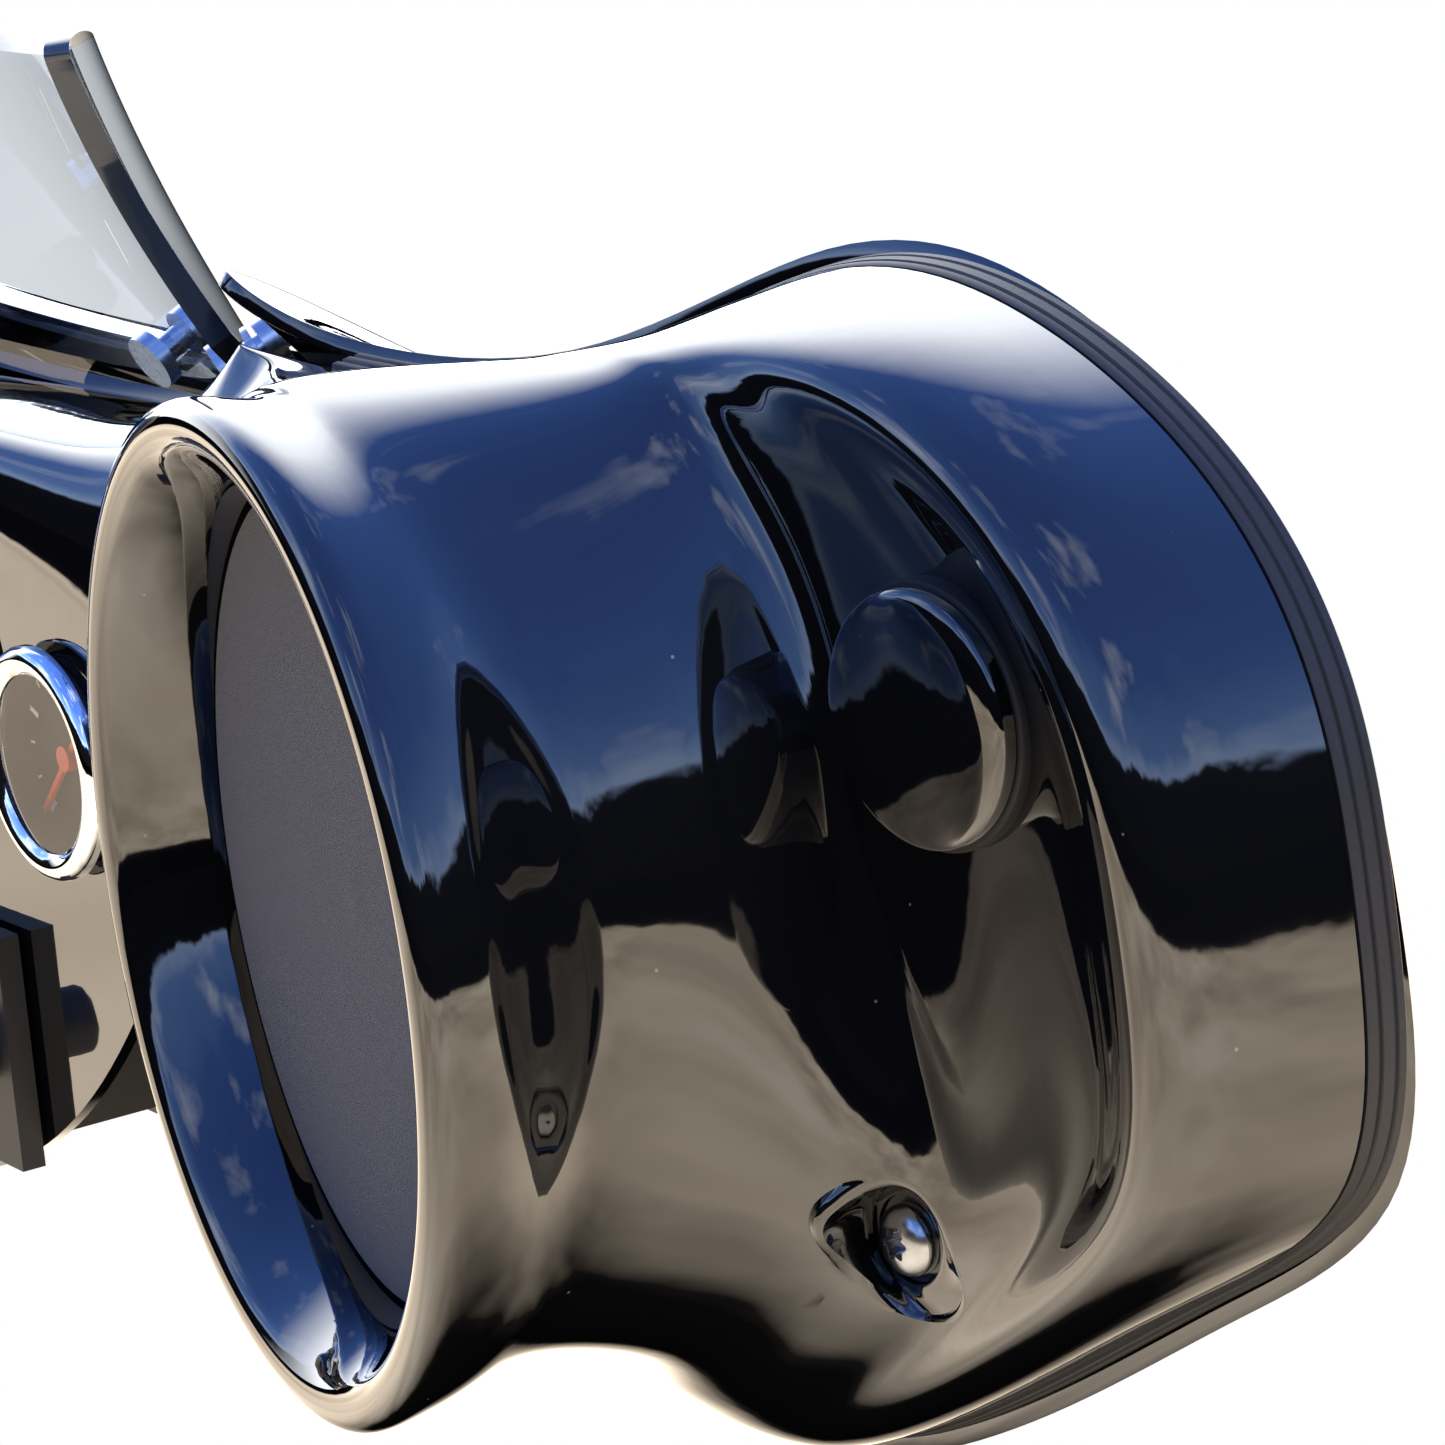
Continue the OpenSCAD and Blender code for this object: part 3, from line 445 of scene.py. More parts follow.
# %% Both halves and the dash, thickened
mirrored = bmesh.ops.duplicate(half, geom=half.verts[:] + half.edges[:] + half.faces[:])["geom"]
for item in mirrored:
    if isinstance(item, bmesh.types.BMVert):
        item.co.x = -item.co.x
bmesh.ops.reverse_faces(half, faces=[f for f in mirrored if isinstance(f, bmesh.types.BMFace)])
dash_points = [half.verts.new(p) for p in dash_grid.reshape(-1, 3)]
for f in grid_faces(dash_grid.shape[0], dash_grid.shape[1], False):
    half.faces.new([dash_points[n] for n in f])
bmesh.ops.remove_doubles(half, verts=half.verts, dist=0.02)
bmesh.ops.dissolve_degenerate(half, edges=half.edges, dist=0.01)
bmesh.ops.recalc_face_normals(half, faces=half.faces)
for v in half.verts:
    v.co = placed(v.co)
shell_mesh = bpy.data.meshes.new("inner_shell")
half.to_mesh(shell_mesh)
half.free()
inner_shell = bpy.data.objects.new("inner_shell", shell_mesh)
scene.collection.objects.link(inner_shell)


def only(obj):
    """Makes obj the one selected and active object."""
    bpy.ops.object.select_all(action="DESELECT")
    obj.select_set(True)
    bpy.context.view_layer.objects.active = obj
    return obj


def faces_rear(obj):
    """True if the open skin's normals look back at the rider."""
    return sum(p.normal.y * p.area for p in obj.data.polygons) < 0


only(inner_shell)
if not faces_rear(inner_shell):
    inner_shell.data.flip_normals()
wall = inner_shell.modifiers.new("wall", "SOLIDIFY")
wall.thickness = 0.0028
wall.offset = -1
bpy.ops.object.modifier_apply(modifier="wall")
print("inner shell", len(inner_shell.data.polygons), "faces")

# %% Cut the plain holes
DASH_FRONT = -31.7
BIG_DIAL, SMALL_DIAL = 40.0, 23.0
dials = {"engine_speed": (44, 30, BIG_DIAL), "speed": (-44, 30, BIG_DIAL),
         "fuel": (111, 23, SMALL_DIAL), "voltage": (-111, 23, SMALL_DIAL)}


def to_world(columns, place):
    """Matrix that sets a piece made in millimetres at a place on the shell, its own axes as columns."""
    m = np.eye(4)
    m[:3, :3] = np.asarray(columns, float) / 1000
    m[:3, 3] = placed(place)
    return Matrix(m)


POD_AXES = np.array([[math.cos(POD_TURN), 0, -math.sin(POD_TURN)],
                     [-math.sin(POD_TURN), 0, -math.cos(POD_TURN)], [0, 1, 0]])
FLAT_AXES = np.array([[1, 0, 0], [0, 0, -1.0], [0, 1, 0]])


def settle(obj, matrix):
    """Bakes a placement into the mesh and leaves the object at the origin."""
    obj.data.transform(matrix)
    obj.matrix_world = Matrix.Identity(4)
    obj.data.update()
    return obj


def round_cutter(radius, columns, place, depth=24):
    bpy.ops.object.select_all(action="DESELECT")
    bpy.ops.mesh.primitive_cylinder_add(vertices=96, radius=radius, depth=depth)
    return settle(bpy.context.object, to_world(columns, place))


cutters = [round_cutter(r - 2.4, FLAT_AXES, (x, DASH_FRONT, z)) for x, z, r in dials.values()]
cutters.append(round_cutter(5.6, REAR, PLUG, 40))
cutters.append(round_cutter(5.6, REAR * [[-1], [1], [1]], PLUG * [-1, 1, 1], 40))
cutters[-1].data.flip_normals()
bpy.ops.object.select_all(action="DESELECT")
bpy.ops.mesh.primitive_cube_add(size=1)
slot_cutter = bpy.context.object
slot_cutter.scale = (166, 24, 42)
bpy.ops.object.transform_apply(scale=True)
settle(slot_cutter, to_world(np.eye(3), (0, -31, -40)))
cutters.append(slot_cutter)
only(inner_shell)
for cutter in cutters:
    cut = inner_shell.modifiers.new("cut", "BOOLEAN")
    cut.operation, cut.object, cut.solver = "DIFFERENCE", cutter, "MANIFOLD"
    bpy.ops.object.modifier_apply(modifier="cut")
for cutter in cutters:
    bpy.data.objects.remove(cutter)
only(inner_shell)
bpy.ops.object.shade_smooth_by_angle(angle=math.radians(38))
print("inner shell cut:", len(inner_shell.data.polygons), "faces")

# %% [markdown]
# ## Gloss black paint
# The shells are moulded ABS under black base coat and clear coat. The eye gets two mirrors, the
# clear coat's face and the colour below it, on a body with almost no colour of its own. A clear
# coat is never quite flat, so a very low ripple about 6 mm across bends the reflections, and a
# few specks of dust half a millimetre across lie on it.

# %% Paint
def gloss_paint():
    made, tree, shader = finish_named(
        "gloss_black_paint_on_ABS", Roughness=0.045, IOR=1.52, Coat_Weight=1.0, Coat_Roughness=0.02,
        Coat_IOR=1.55, Specular_IOR_Level=0.5)
    where = add(tree, "ShaderNodeTexCoord").outputs["Object"]
    ripple = add(tree, "ShaderNodeTexNoise", {"Vector": where, "Scale": 160.0, "Detail": 1.0}).outputs["Fac"]
    bump = add(tree, "ShaderNodeBump", {"Height": ripple, "Strength": 0.05, "Distance": 0.0004})
    grains = add(tree, "ShaderNodeTexVoronoi", {"Vector": where, "Scale": 210.0, "Randomness": 1.0})
    speck = ramp(tree, grains.outputs["Distance"], [(0.0, 1.0), (0.055, 1.0), (0.075, 0.0)])
    chosen = add(tree, "ShaderNodeSeparateColor", {"Color": grains.outputs["Color"]}).outputs["Red"]
    rare = add(tree, "ShaderNodeMath", {0: chosen, 1: 0.93}, operation="GREATER_THAN").outputs[0]
    dust = add(tree, "ShaderNodeMath", {0: speck.outputs["Color"], 1: rare}, operation="MULTIPLY").outputs[0]
    dust = add(tree, "ShaderNodeMath", {0: dust, 1: 0.35}, operation="MULTIPLY").outputs[0]
    colour = add(tree, "ShaderNodeMix", {"Factor": dust, "A": linear("#08090c"), "B": linear("#9a9c9f")},
                 data_type="RGBA")
    tree.links.new(colour.outputs["Result"], shader.inputs["Base Color"])
    tree.links.new(bump.outputs["Normal"], shader.inputs["Normal"])
    tree.links.new(bump.outputs["Normal"], shader.inputs["Coat Normal"])
    return made


paint = gloss_paint()


def finish_piece(obj, material, slot, body, *nodes):
    """Gives a new piece its finish, its body and the solid nodes it stands for; slot is not used."""
    obj.data.materials.clear()
    obj.data.materials.append(material)
    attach(obj, body)
    if nodes:
        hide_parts(*nodes)
    return obj


finish_piece(inner_shell, paint, "paint", "fairing", "inner_fairing")

print("paint ready, inner shell finished")


# %% [markdown]
# ## Helpers for new pieces
# Rings, caps and screws are turned, as on a lathe. Right pieces are made and mirrored.

# %% Turned and mirrored pieces
def turned(name, outline, matrix, steps=96, sharp=30):
    """A piece turned on its own z axis from a closed outline of (radius, height) points."""
    mesh = bpy.data.meshes.new(name)
    count = len(outline)
    edges = [(i, (i + 1) % count) for i in range(count)]
    mesh.from_pydata([(r, 0, z) for r, z in outline], [e for e in edges
                     if outline[e[0]][0] + outline[e[1]][0] > 0], [])
    obj = bpy.data.objects.new(name, mesh)
    scene.collection.objects.link(obj)
    only(obj)
    turn = obj.modifiers.new("turn", "SCREW")
    turn.steps = turn.render_steps = steps
    turn.use_merge_vertices = True
    turn.merge_threshold = 0.001
    bpy.ops.object.modifier_apply(modifier="turn")
    return face_out(settle(obj, matrix), sharp)


def face_out(obj, sharp=30):
    """Normals outward, smooth except at sharp edges."""
    only(obj)
    bpy.ops.object.mode_set(mode="EDIT")
    bpy.ops.mesh.select_all(action="SELECT")
    bpy.ops.mesh.remove_doubles(threshold=0.000002)
    bpy.ops.mesh.normals_make_consistent(inside=False)
    bpy.ops.object.mode_set(mode="OBJECT")
    bpy.ops.object.shade_smooth_by_angle(angle=math.radians(sharp))
    return obj


def twinned(obj):
    """Adds the left-hand twin to a right-hand piece, in the same mesh."""
    only(obj)
    obj.modifiers.new("twin", "MIRROR").use_mirror_merge = False
    bpy.ops.object.modifier_apply(modifier="twin")
    return obj


def left_copy(obj, name):
    """A separate left-hand twin."""
    other = obj.copy()
    other.data = obj.data.copy()
    other.name = name
    scene.collection.objects.link(other)
    other.data.transform(Matrix.Diagonal((-1, 1, 1, 1)))
    other.data.flip_normals()
    return other


def meshed(name, points, faces):
    """A new object from computed points and faces."""
    mesh = bpy.data.meshes.new(name)
    mesh.from_pydata([tuple(p) for p in points], [], faces)
    obj = bpy.data.objects.new(name, mesh)
    scene.collection.objects.link(obj)
    return obj


# %% [markdown]
# ## Outer shell, gasket and windshield
# The shell that faces the road is a shallow cone from the rim to the headlamp's hole, with a
# small horn each side of the windshield. A strip of ribbed rubber fills the joint between the
# shells, and the windshield stands in front of the deck.

# %% Outer shell
# Guide points of the rim from the top middle down the right side to the bottom middle, and the
# place on the headlamp's hole, in degrees, that each one runs to
outer_rim = [(0,79,67), (50,70,70), (92,47,82), (119,22,98), (134,-3,118), (146,8,99), (211,33,92),
    (267,52.5,125.5), (320,53,120.5), (368,51,97), (396,49,67.5), (403,49,31), (408,49,-18),
    (359,49,-44.5), (306,49,-78), (246,50,-105.5), (180,80,-117), (112,130,-128), (58,158,-146),
    (0,168,-152)]
lamp_turn = [90, 78, 66, 56, 50, 46, 36, 28, 20, 12, 6, 0, -10, -20, -30, -40, -52, -64, -77, -90]
LAMP = np.array([0, 214, -56.0])
LAMP_RADIUS = 89.0
HOLE_RADIUS = LAMP_RADIUS + 7
full_rim = outer_rim + [(-x, y, z) for x, y, z in outer_rim[-2:0:-1]]
full_turn = lamp_turn + [180 - a for a in lamp_turn[-2:0:-1]]
hole_guides = [LAMP + HOLE_RADIUS * np.array([math.cos(math.radians(a)), 0, math.sin(math.radians(a))])
               for a in full_turn]
rim_places = np.arange(len(full_rim) * 10) / 10
rim_curve = round_loop(full_rim, rim_places)
hole_curve = round_loop(hole_guides, rim_places) - LAMP
hole_curve = LAMP + HOLE_RADIUS * hole_curve / np.linalg.norm(hole_curve, axis=1)[:, None]
width = np.linalg.norm((hole_curve - rim_curve)[:, [0, 2]], axis=1)
cone_rows = []
for t in [0, 0.003, 0.008, 0.016, 0.03, 0.05, 0.08, 0.12, 0.18, 0.26, 0.36, 0.48, 0.6, 0.72, 0.84, 0.93, 1]:
    row = rim_curve + (hole_curve - rim_curve) * t
    rise = (hole_curve - rim_curve)[:, 1]
    row[:, 1] = rim_curve[:, 1] + rise * (0.8 * t + 0.2 * t**4) + 3 * (1 - np.exp(-t * width / 6)) * (1 - t)
    cone_rows.append(row)
cone_rows = np.array(cone_rows)
outer_shell = meshed("outer_shell", placed(cone_rows.reshape(-1, 3)),
                     grid_faces(len(cone_rows), len(rim_places), True))
only(outer_shell)
if faces_rear(outer_shell):
    outer_shell.data.flip_normals()
thick = outer_shell.modifiers.new("wall", "SOLIDIFY")
thick.thickness, thick.offset = 0.0032, 1
bpy.ops.object.modifier_apply(modifier="wall")
soften = outer_shell.modifiers.new("edge", "BEVEL")
soften.width, soften.segments, soften.limit_method = 0.0011, 3, "ANGLE"
soften.angle_limit = math.radians(55)
bpy.ops.object.modifier_apply(modifier="edge")
bpy.ops.object.shade_smooth_by_angle(angle=math.radians(50))
finish_piece(outer_shell, paint, "paint", "fairing", "outer_fairing")
print("outer shell", len(outer_shell.data.polygons), "faces")

# %% Rubber strip
# EPDM is extruded, so its skin is even and satin, with grooves that run along it.
def rubber(name, shade, rough=0.62):
    """Moulded rubber: even, faintly grained, no clear coat."""
    made, tree, shader = finish_named(name, Roughness=rough, IOR=1.5, Specular_IOR_Level=0.4)
    where = add(tree, "ShaderNodeTexCoord").outputs["Object"]
    grain = add(tree, "ShaderNodeTexNoise", {"Vector": where, "Scale": 1400.0, "Detail": 3.0}).outputs["Fac"]
    tone = ramp(tree, grain, [(0.3, linear(shade)), (0.7, [c * 1.25 for c in linear(shade)])])
    tree.links.new(tone.outputs["Color"], shader.inputs["Base Color"])
    bump = add(tree, "ShaderNodeBump", {"Height": grain, "Strength": 0.3, "Distance": 0.0001})
    tree.links.new(bump.outputs["Normal"], shader.inputs["Normal"])
    return made


strip_rubber = rubber("EPDM_rubber_satin_black", "#222326", 0.46)
black_rubber = rubber("black_moulded_rubber", "#101012")
# The strip's section: how far forward of the inner shell's rim, and how far outward
STRIP = [(0.6, 0.1), (1.0, 0.5), (2.2, 0.7), (2.5, 0.3), (2.9, 0.3), (3.2, 0.9), (5.0, 1.2), (5.3, 0.8),
         (5.7, 0.8), (6.0, 1.35), (7.2, 1.5), (7.6, 1.1), (7.6, -4.0), (7.2, -4.4), (1.0, -4.4), (0.6, -4.0)]
strip_places = np.linspace(15.4, 25.8, 360)
along = round_loop(rim_loop, strip_places % LINES)
outward = (along - np.array([236, 0, 22.0])) * [1, 0, 1]
outward /= np.linalg.norm(outward, axis=1)[:, None]
strip_rows = np.array([along + [0, dy, 0] + reach * outward for dy, reach in STRIP]).transpose(1, 0, 2)
strip_faces = grid_faces(len(strip_rows), len(STRIP), True)
strip_faces.append(tuple(range(len(STRIP))))
strip_faces.append(tuple(len(STRIP) * (len(strip_rows) - 1) + i for i in range(len(STRIP)))[::-1])
strip = meshed("rubber_strip", placed(strip_rows.reshape(-1, 3)), strip_faces)
face_out(strip, 40)
finish_piece(twinned(strip), strip_rubber, "gasket_rubber", "fairing", "fairing_gasket")

# %% Windshield
# Polycarbonate is clear face on. Its sawn and polished edge gathers the tint of the whole sheet
# and looks almost black, so the rim faces have a finish of their own.
def clear_plastic(name, tint, edge_tint=None):
    """Clear sheet: see-through face on, tinted where the eye looks along it, with a clean reflection."""
    made, tree, shader = finish_named(name, Base_Color=linear(tint), Roughness=0.015, IOR=1.49)
    facing = add(tree, "ShaderNodeLayerWeight", {"Blend": 0.35}).outputs["Facing"]
    tone = ramp(tree, facing, [(0.0, linear(tint)), (0.75, linear(tint)), (1.0, linear(edge_tint or tint))])
    through = add(tree, "ShaderNodeBsdfTransparent", {"Color": tone.outputs["Color"]})
    shine = add(tree, "ShaderNodeBsdfGlossy", {"Color": (1, 1, 1, 1), "Roughness": 0.015})
    fresnel = add(tree, "ShaderNodeFresnel", {"IOR": 1.49})
    inside = add(tree, "ShaderNodeNewGeometry").outputs["Backfacing"]
    outside = add(tree, "ShaderNodeMath", {0: 1.0, 1: inside}, operation="SUBTRACT").outputs[0]
    share = add(tree, "ShaderNodeMath",
                {0: fresnel.outputs["Fac"], 1: outside}, operation="MULTIPLY").outputs[0]
    mix = add(tree, "ShaderNodeMixShader", {0: share, 1: through.outputs[0], 2: shine.outputs[0]})
    tree.links.new(mix.outputs[0], tree.nodes["Material Output"].inputs["Surface"])
    return made, tree, (fresnel, shine)


def shield_at(s, dz):
    """A point of the windshield's rear face: s runs from -1 to 1 across it, dz up from its foot."""
    return np.array([s * (128 - 0.15 * dz + 0.006 * dz * dz), 1 + 65 * (1 - s * s) - 0.55 * dz,
                     102 - 38 * (1 - abs(s) ** 2.6) + dz])


def shield_normal(s, dz):
    across = shield_at(s + 0.01, dz) - shield_at(s - 0.01, dz)
    n = np.cross(across, shield_at(s, dz - 1) - shield_at(s, dz + 1))
    return n / np.linalg.norm(n)


shield_ss = np.sin(np.linspace(-math.pi / 2, math.pi / 2, 141))
shield_rows = []
for share in np.linspace(0, 1, 34):
    tall = [56 + 27 * max(1 - s**4, 0) ** 0.7 for s in shield_ss]
    shield_rows.append([shield_at(s, -3 + (h + 3) * share) for s, h in zip(shield_ss, tall)])
shield_rows = np.array(shield_rows)
shield = meshed("windshield_sheet", placed(shield_rows.reshape(-1, 3)),
                grid_faces(len(shield_rows), len(shield_ss), False))
only(shield)
if faces_rear(shield):
    shield.data.flip_normals()
screen_plastic = clear_plastic("clear_polycarbonate", "#eef1f4", "#7f8c9c")[0]
screen_edge, edge_tree, edge_shader = finish_named(
    "polished_polycarbonate_edge", Base_Color=linear("#27313f"), Roughness=0.16, IOR=1.58)
edge_at = add(edge_tree, "ShaderNodeTexCoord").outputs["Object"]
edge_polish = add(edge_tree, "ShaderNodeTexNoise", {"Vector": edge_at, "Scale": 900.0}).outputs["Fac"]
edge_polish = add(edge_tree, "ShaderNodeMapRange", {"Value": edge_polish, "To Min": 0.12, "To Max": 0.24})
edge_tree.links.new(edge_polish.outputs["Result"], edge_shader.inputs["Roughness"])
shield.data.materials.append(screen_plastic)
shield.data.materials.append(screen_edge)
thick = shield.modifiers.new("wall", "SOLIDIFY")
thick.thickness, thick.offset, thick.material_offset_rim = 0.0048, 1, 1
bpy.ops.object.modifier_apply(modifier="wall")
for s in (-0.55, 0, 0.55):
    n = shield_normal(s, 12)
    side = np.cross([0, 0, 1.0], n)
    side /= np.linalg.norm(side)
    drill = round_cutter(3.4, np.stack([side, np.cross(n, side), n], 1), shield_at(s, 12), 26)
    only(shield)
    cut = shield.modifiers.new("cut", "BOOLEAN")
    cut.operation, cut.object, cut.solver = "DIFFERENCE", drill, "MANIFOLD"
    bpy.ops.object.modifier_apply(modifier="cut")
    bpy.data.objects.remove(drill)
only(shield)
soften = shield.modifiers.new("edge", "BEVEL")
soften.width, soften.segments, soften.limit_method = 0.0012, 3, "ANGLE"
soften.angle_limit = math.radians(55)
bpy.ops.object.modifier_apply(modifier="edge")
bpy.ops.object.shade_smooth_by_angle(angle=math.radians(40))
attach(shield, "fairing")
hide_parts("windshield")
print("gasket and windshield made")

# %% [markdown]
# ## Plugs, screws and speakers
# A domed cap closes each hole where a mirror would be bolted, on a rubber seal that fills the gap
# down to the sloping skin. One screw each side holds the two shells together, deep in its well.

# %% Plugs over the mirror holes, and their seals
plug = turned("mirror_hole_plug", [
    (0, -28), (4.6, -28), (5, -27.6), (5, -3), (20.8, -3), (21.2, -2.7), (21.2, -1.0), (21.05, -0.55),
    (20.75, -0.2), (20.3, 0.08), (19.4, 0.4), (17.2, 0.85), (14, 1.2), (10.5, 1.4), (7, 1.52),
    (3.5, 1.58), (0, 1.6)],
    to_world(REAR, PLUG), 160, 22)
finish_piece(twinned(plug), paint, "paint", "fairing", "mirror_hole_plugs")
SEAL_TURNS, SEAL_TOP, SEAT_FROM = 120, -3.1, 8
seal_points = []
for r, gap in [(5.4, 0.0), (21.4, 0.0), (22.0, 0.25), (22.2, 0.7), (22.2, None), (5.4, None)]:
    for k in range(SEAL_TURNS):
        a = 2 * math.pi * k / SEAL_TURNS
        x, y = r * math.cos(a), r * math.sin(a)
        if gap is None:
            reach = max(r, SEAT_FROM) / r
            z = max(min(seat_height(PLUG, reach * x, reach * y), -3.9), -7.5)
        else:
            z = SEAL_TOP - gap
        seal_points.append(placed(PLUG + REAR @ np.array([x, y, z])))
seal_faces = grid_faces(6, SEAL_TURNS, True)
seal_faces += [(5 * SEAL_TURNS + i, 5 * SEAL_TURNS + (i + 1) % SEAL_TURNS, (i + 1) % SEAL_TURNS, i)
               for i in range(SEAL_TURNS)]
seal = face_out(meshed("plug_seal", seal_points, seal_faces), 40)
finish_piece(twinned(seal), black_rubber, "soft_rubber", "fairing", "plug_seal_rings")


# %% [markdown]
# ## Metals and plastics of the small pieces
# Chrome is a mirror, zinc plate is paler and softer, stainless steel keeps the marks of its tool
# and ferrite is dull. Powder coat and ABS are black, with a fine grain of 0.4 to 0.8 mm that
# spreads their highlights.

# %% Metal finishes
def metal(name, colour, rough, grain=0.06, scale=500.0):
    """Bare or plated metal with a fine uneven polish."""
    made, tree, shader = finish_named(name, Base_Color=linear(colour), Metallic=1.0, Roughness=rough)
    where = add(tree, "ShaderNodeTexCoord").outputs["Object"]
    wear = add(tree, "ShaderNodeTexNoise", {"Vector": where, "Scale": scale, "Detail": 4.0}).outputs["Fac"]
    spread = add(tree, "ShaderNodeMapRange", {"Value": wear, "To Min": rough, "To Max": rough + grain})
    tree.links.new(spread.outputs["Result"], shader.inputs["Roughness"])
    bump = add(tree, "ShaderNodeBump", {"Height": wear, "Strength": 0.08, "Distance": 0.0001})
    tree.links.new(bump.outputs["Normal"], shader.inputs["Normal"])
    return made


def plastic(name, colour, rough, grain=1200.0):
    """Moulded plastic with a fine etched grain."""
    made, tree, shader = finish_named(name, Base_Color=linear(colour), Roughness=rough, IOR=1.49)
    where = add(tree, "ShaderNodeTexCoord").outputs["Object"]
    etched = add(tree, "ShaderNodeTexNoise", {"Vector": where, "Scale": grain, "Detail": 2.0}).outputs["Fac"]
    bump = add(tree, "ShaderNodeBump", {"Height": etched, "Strength": 0.25, "Distance": 0.00012})
    tree.links.new(bump.outputs["Normal"], shader.inputs["Normal"])
    return made


chrome = metal("bright_chrome_plate", "#e6e8ec", 0.03, 0.03)
zinc = metal("zinc_plated_steel", "#c4c7cc", 0.2, 0.12)
screw_steel = metal("machined_stainless_screw", "#a4a6aa", 0.17, 0.14, 900.0)
ferrite = metal("ferrite_and_zinc_yoke", "#3c3e42", 0.45, 0.15, 900.0)
powder = plastic("black_powder_coat_on_steel", "#26282c", 0.48, 2200.0)
black_plastic = plastic("black_ABS_etched", "#17181a", 0.5)
key_plastic = plastic("soft_touch_key_plastic", "#2a2c30", 0.62)
cone_paper = plastic("coated_paper_cone", "#1d1e20", 0.75, 700.0)
orange = plastic("needle_signal_orange", "#d8481f", 0.4)
reflector_chrome = metal("vapour_plated_reflector", "#eef1f5", 0.05, 0.04)

# %% Shell screws with a six-lobe recess
head = turned("shell_screw", [
    (0, -25), (2.6, -25), (3, -24.6), (3, -6.3), (6.0, -6.3), (6.2, -6.1), (6.2, -4.4), (6.05, -3.9),
    (5.6, -3.2),
    (4.9, -2.6), (3.9, -2.1), (2.8, -1.8), (1.4, -1.6), (0, -1.55)], to_world(REAR, SCREW), 96, 35)
lobes = []
for k in range(72):
    a = 2 * math.pi * k / 72
    lobes.append((2.45 + 0.42 * math.cos(6 * a)) * np.array([math.cos(a), math.sin(a)]))
recess_points = [placed(SCREW + REAR @ np.array([p[0], p[1], z])) for z in (-4.4, 2) for p in lobes]
recess_faces = grid_faces(2, 72, True) + [tuple(range(72))[::-1], tuple(range(72, 144))]
recess = face_out(meshed("recess", recess_points, recess_faces))
only(head)
cut = head.modifiers.new("cut", "BOOLEAN")
cut.operation, cut.object, cut.solver = "DIFFERENCE", recess, "MANIFOLD"
bpy.ops.object.modifier_apply(modifier="cut")
bpy.data.objects.remove(recess)
only(head)
soften = head.modifiers.new("edge", "BEVEL")
soften.width, soften.segments, soften.limit_method = 0.00022, 2, "ANGLE"
soften.angle_limit = math.radians(50)
bpy.ops.object.modifier_apply(modifier="edge")
bpy.ops.object.shade_smooth_by_angle(angle=math.radians(35))
finish_piece(twinned(head), screw_steel, "zinc", "fairing", "shell_screws")

# %% [markdown]
# ## Grille cloths
# An open plain weave of dull yarn about 0.3 mm thick, stretched over a frame. Its threads follow
# the disc's own UV map, and a soft slub keeps it from looking printed.

# %% Grille cloths
CLOTH_RADIUS, CLOTH_PLACE, CLOTH_SAG = 71.4, -19.6, 0.5
cloth_material, cloth_tree, cloth_shader = finish_named(
    "woven_speaker_cloth", Roughness=0.9, Sheen_Weight=0.25, Sheen_Roughness=0.5, Specular_IOR_Level=0.2)
weave_at = add(cloth_tree, "ShaderNodeUVMap", uv_map="UVMap").outputs["UV"]
warp = add(cloth_tree, "ShaderNodeTexWave", {"Vector": weave_at, "Scale": 155.0, "Distortion": 0.4},
           wave_type="BANDS", bands_direction="X").outputs["Fac"]
weft = add(cloth_tree, "ShaderNodeTexWave", {"Vector": weave_at, "Scale": 155.0, "Distortion": 0.4},
           wave_type="BANDS", bands_direction="Y").outputs["Fac"]
woven = add(cloth_tree, "ShaderNodeMath", {0: warp, 1: weft}, operation="MULTIPLY").outputs[0]
slub = add(cloth_tree, "ShaderNodeTexNoise",
           {"Vector": weave_at, "Scale": 90.0, "Detail": 4.0}).outputs["Fac"]
slub = add(cloth_tree, "ShaderNodeMath", {0: slub, 1: 0.3}, operation="MULTIPLY").outputs[0]
both = add(cloth_tree, "ShaderNodeMath", {0: woven, 1: slub}, operation="ADD").outputs[0]
cloth_tone = ramp(cloth_tree, both,
                  [(0.05, linear("#1c1c1e")), (0.5, linear("#38383a")), (1.0, linear("#4c4c4e"))])
cloth_tree.links.new(cloth_tone.outputs["Color"], cloth_shader.inputs["Base Color"])
cloth_bump = add(cloth_tree, "ShaderNodeBump", {"Height": both, "Strength": 0.5, "Distance": 0.0003})
cloth_tree.links.new(cloth_bump.outputs["Normal"], cloth_shader.inputs["Normal"])
cloth_points, cloth_faces = [(0, 0, CLOTH_PLACE)], []
CLOTH_TURNS, CLOTH_RINGS = 96, 18
for j in range(1, CLOTH_RINGS + 1):
    for k in range(CLOTH_TURNS):
        a, r = 2 * math.pi * k / CLOTH_TURNS, CLOTH_RADIUS * j / CLOTH_RINGS
        sag = CLOTH_SAG * (1 - (j / CLOTH_RINGS) ** 2)
        cloth_points.append((r * math.cos(a), r * math.sin(a), CLOTH_PLACE - sag))
for k in range(CLOTH_TURNS):
    n = (k + 1) % CLOTH_TURNS
    cloth_faces.append((0, 1 + k, 1 + n))
cloth_faces += grid_faces(CLOTH_RINGS, CLOTH_TURNS, True, 1, True)
cloth = meshed("grille_cloth_right", cloth_points, cloth_faces)
laid = cloth.data.uv_layers.new(name="UVMap")
for loop in cloth.data.loops:
    spot = cloth.data.vertices[loop.vertex_index].co
    laid.data[loop.index].uv = (0.5 + spot.x / 150, 0.5 + spot.y / 150)
settle(cloth, to_world(POD_AXES, POD))
for polygon in cloth.data.polygons:
    polygon.use_smooth = True
other_cloth = left_copy(cloth, "grille_cloth_left")
finish_piece(cloth, cloth_material, "grille_cloth", "fairing", "grille_cloths")
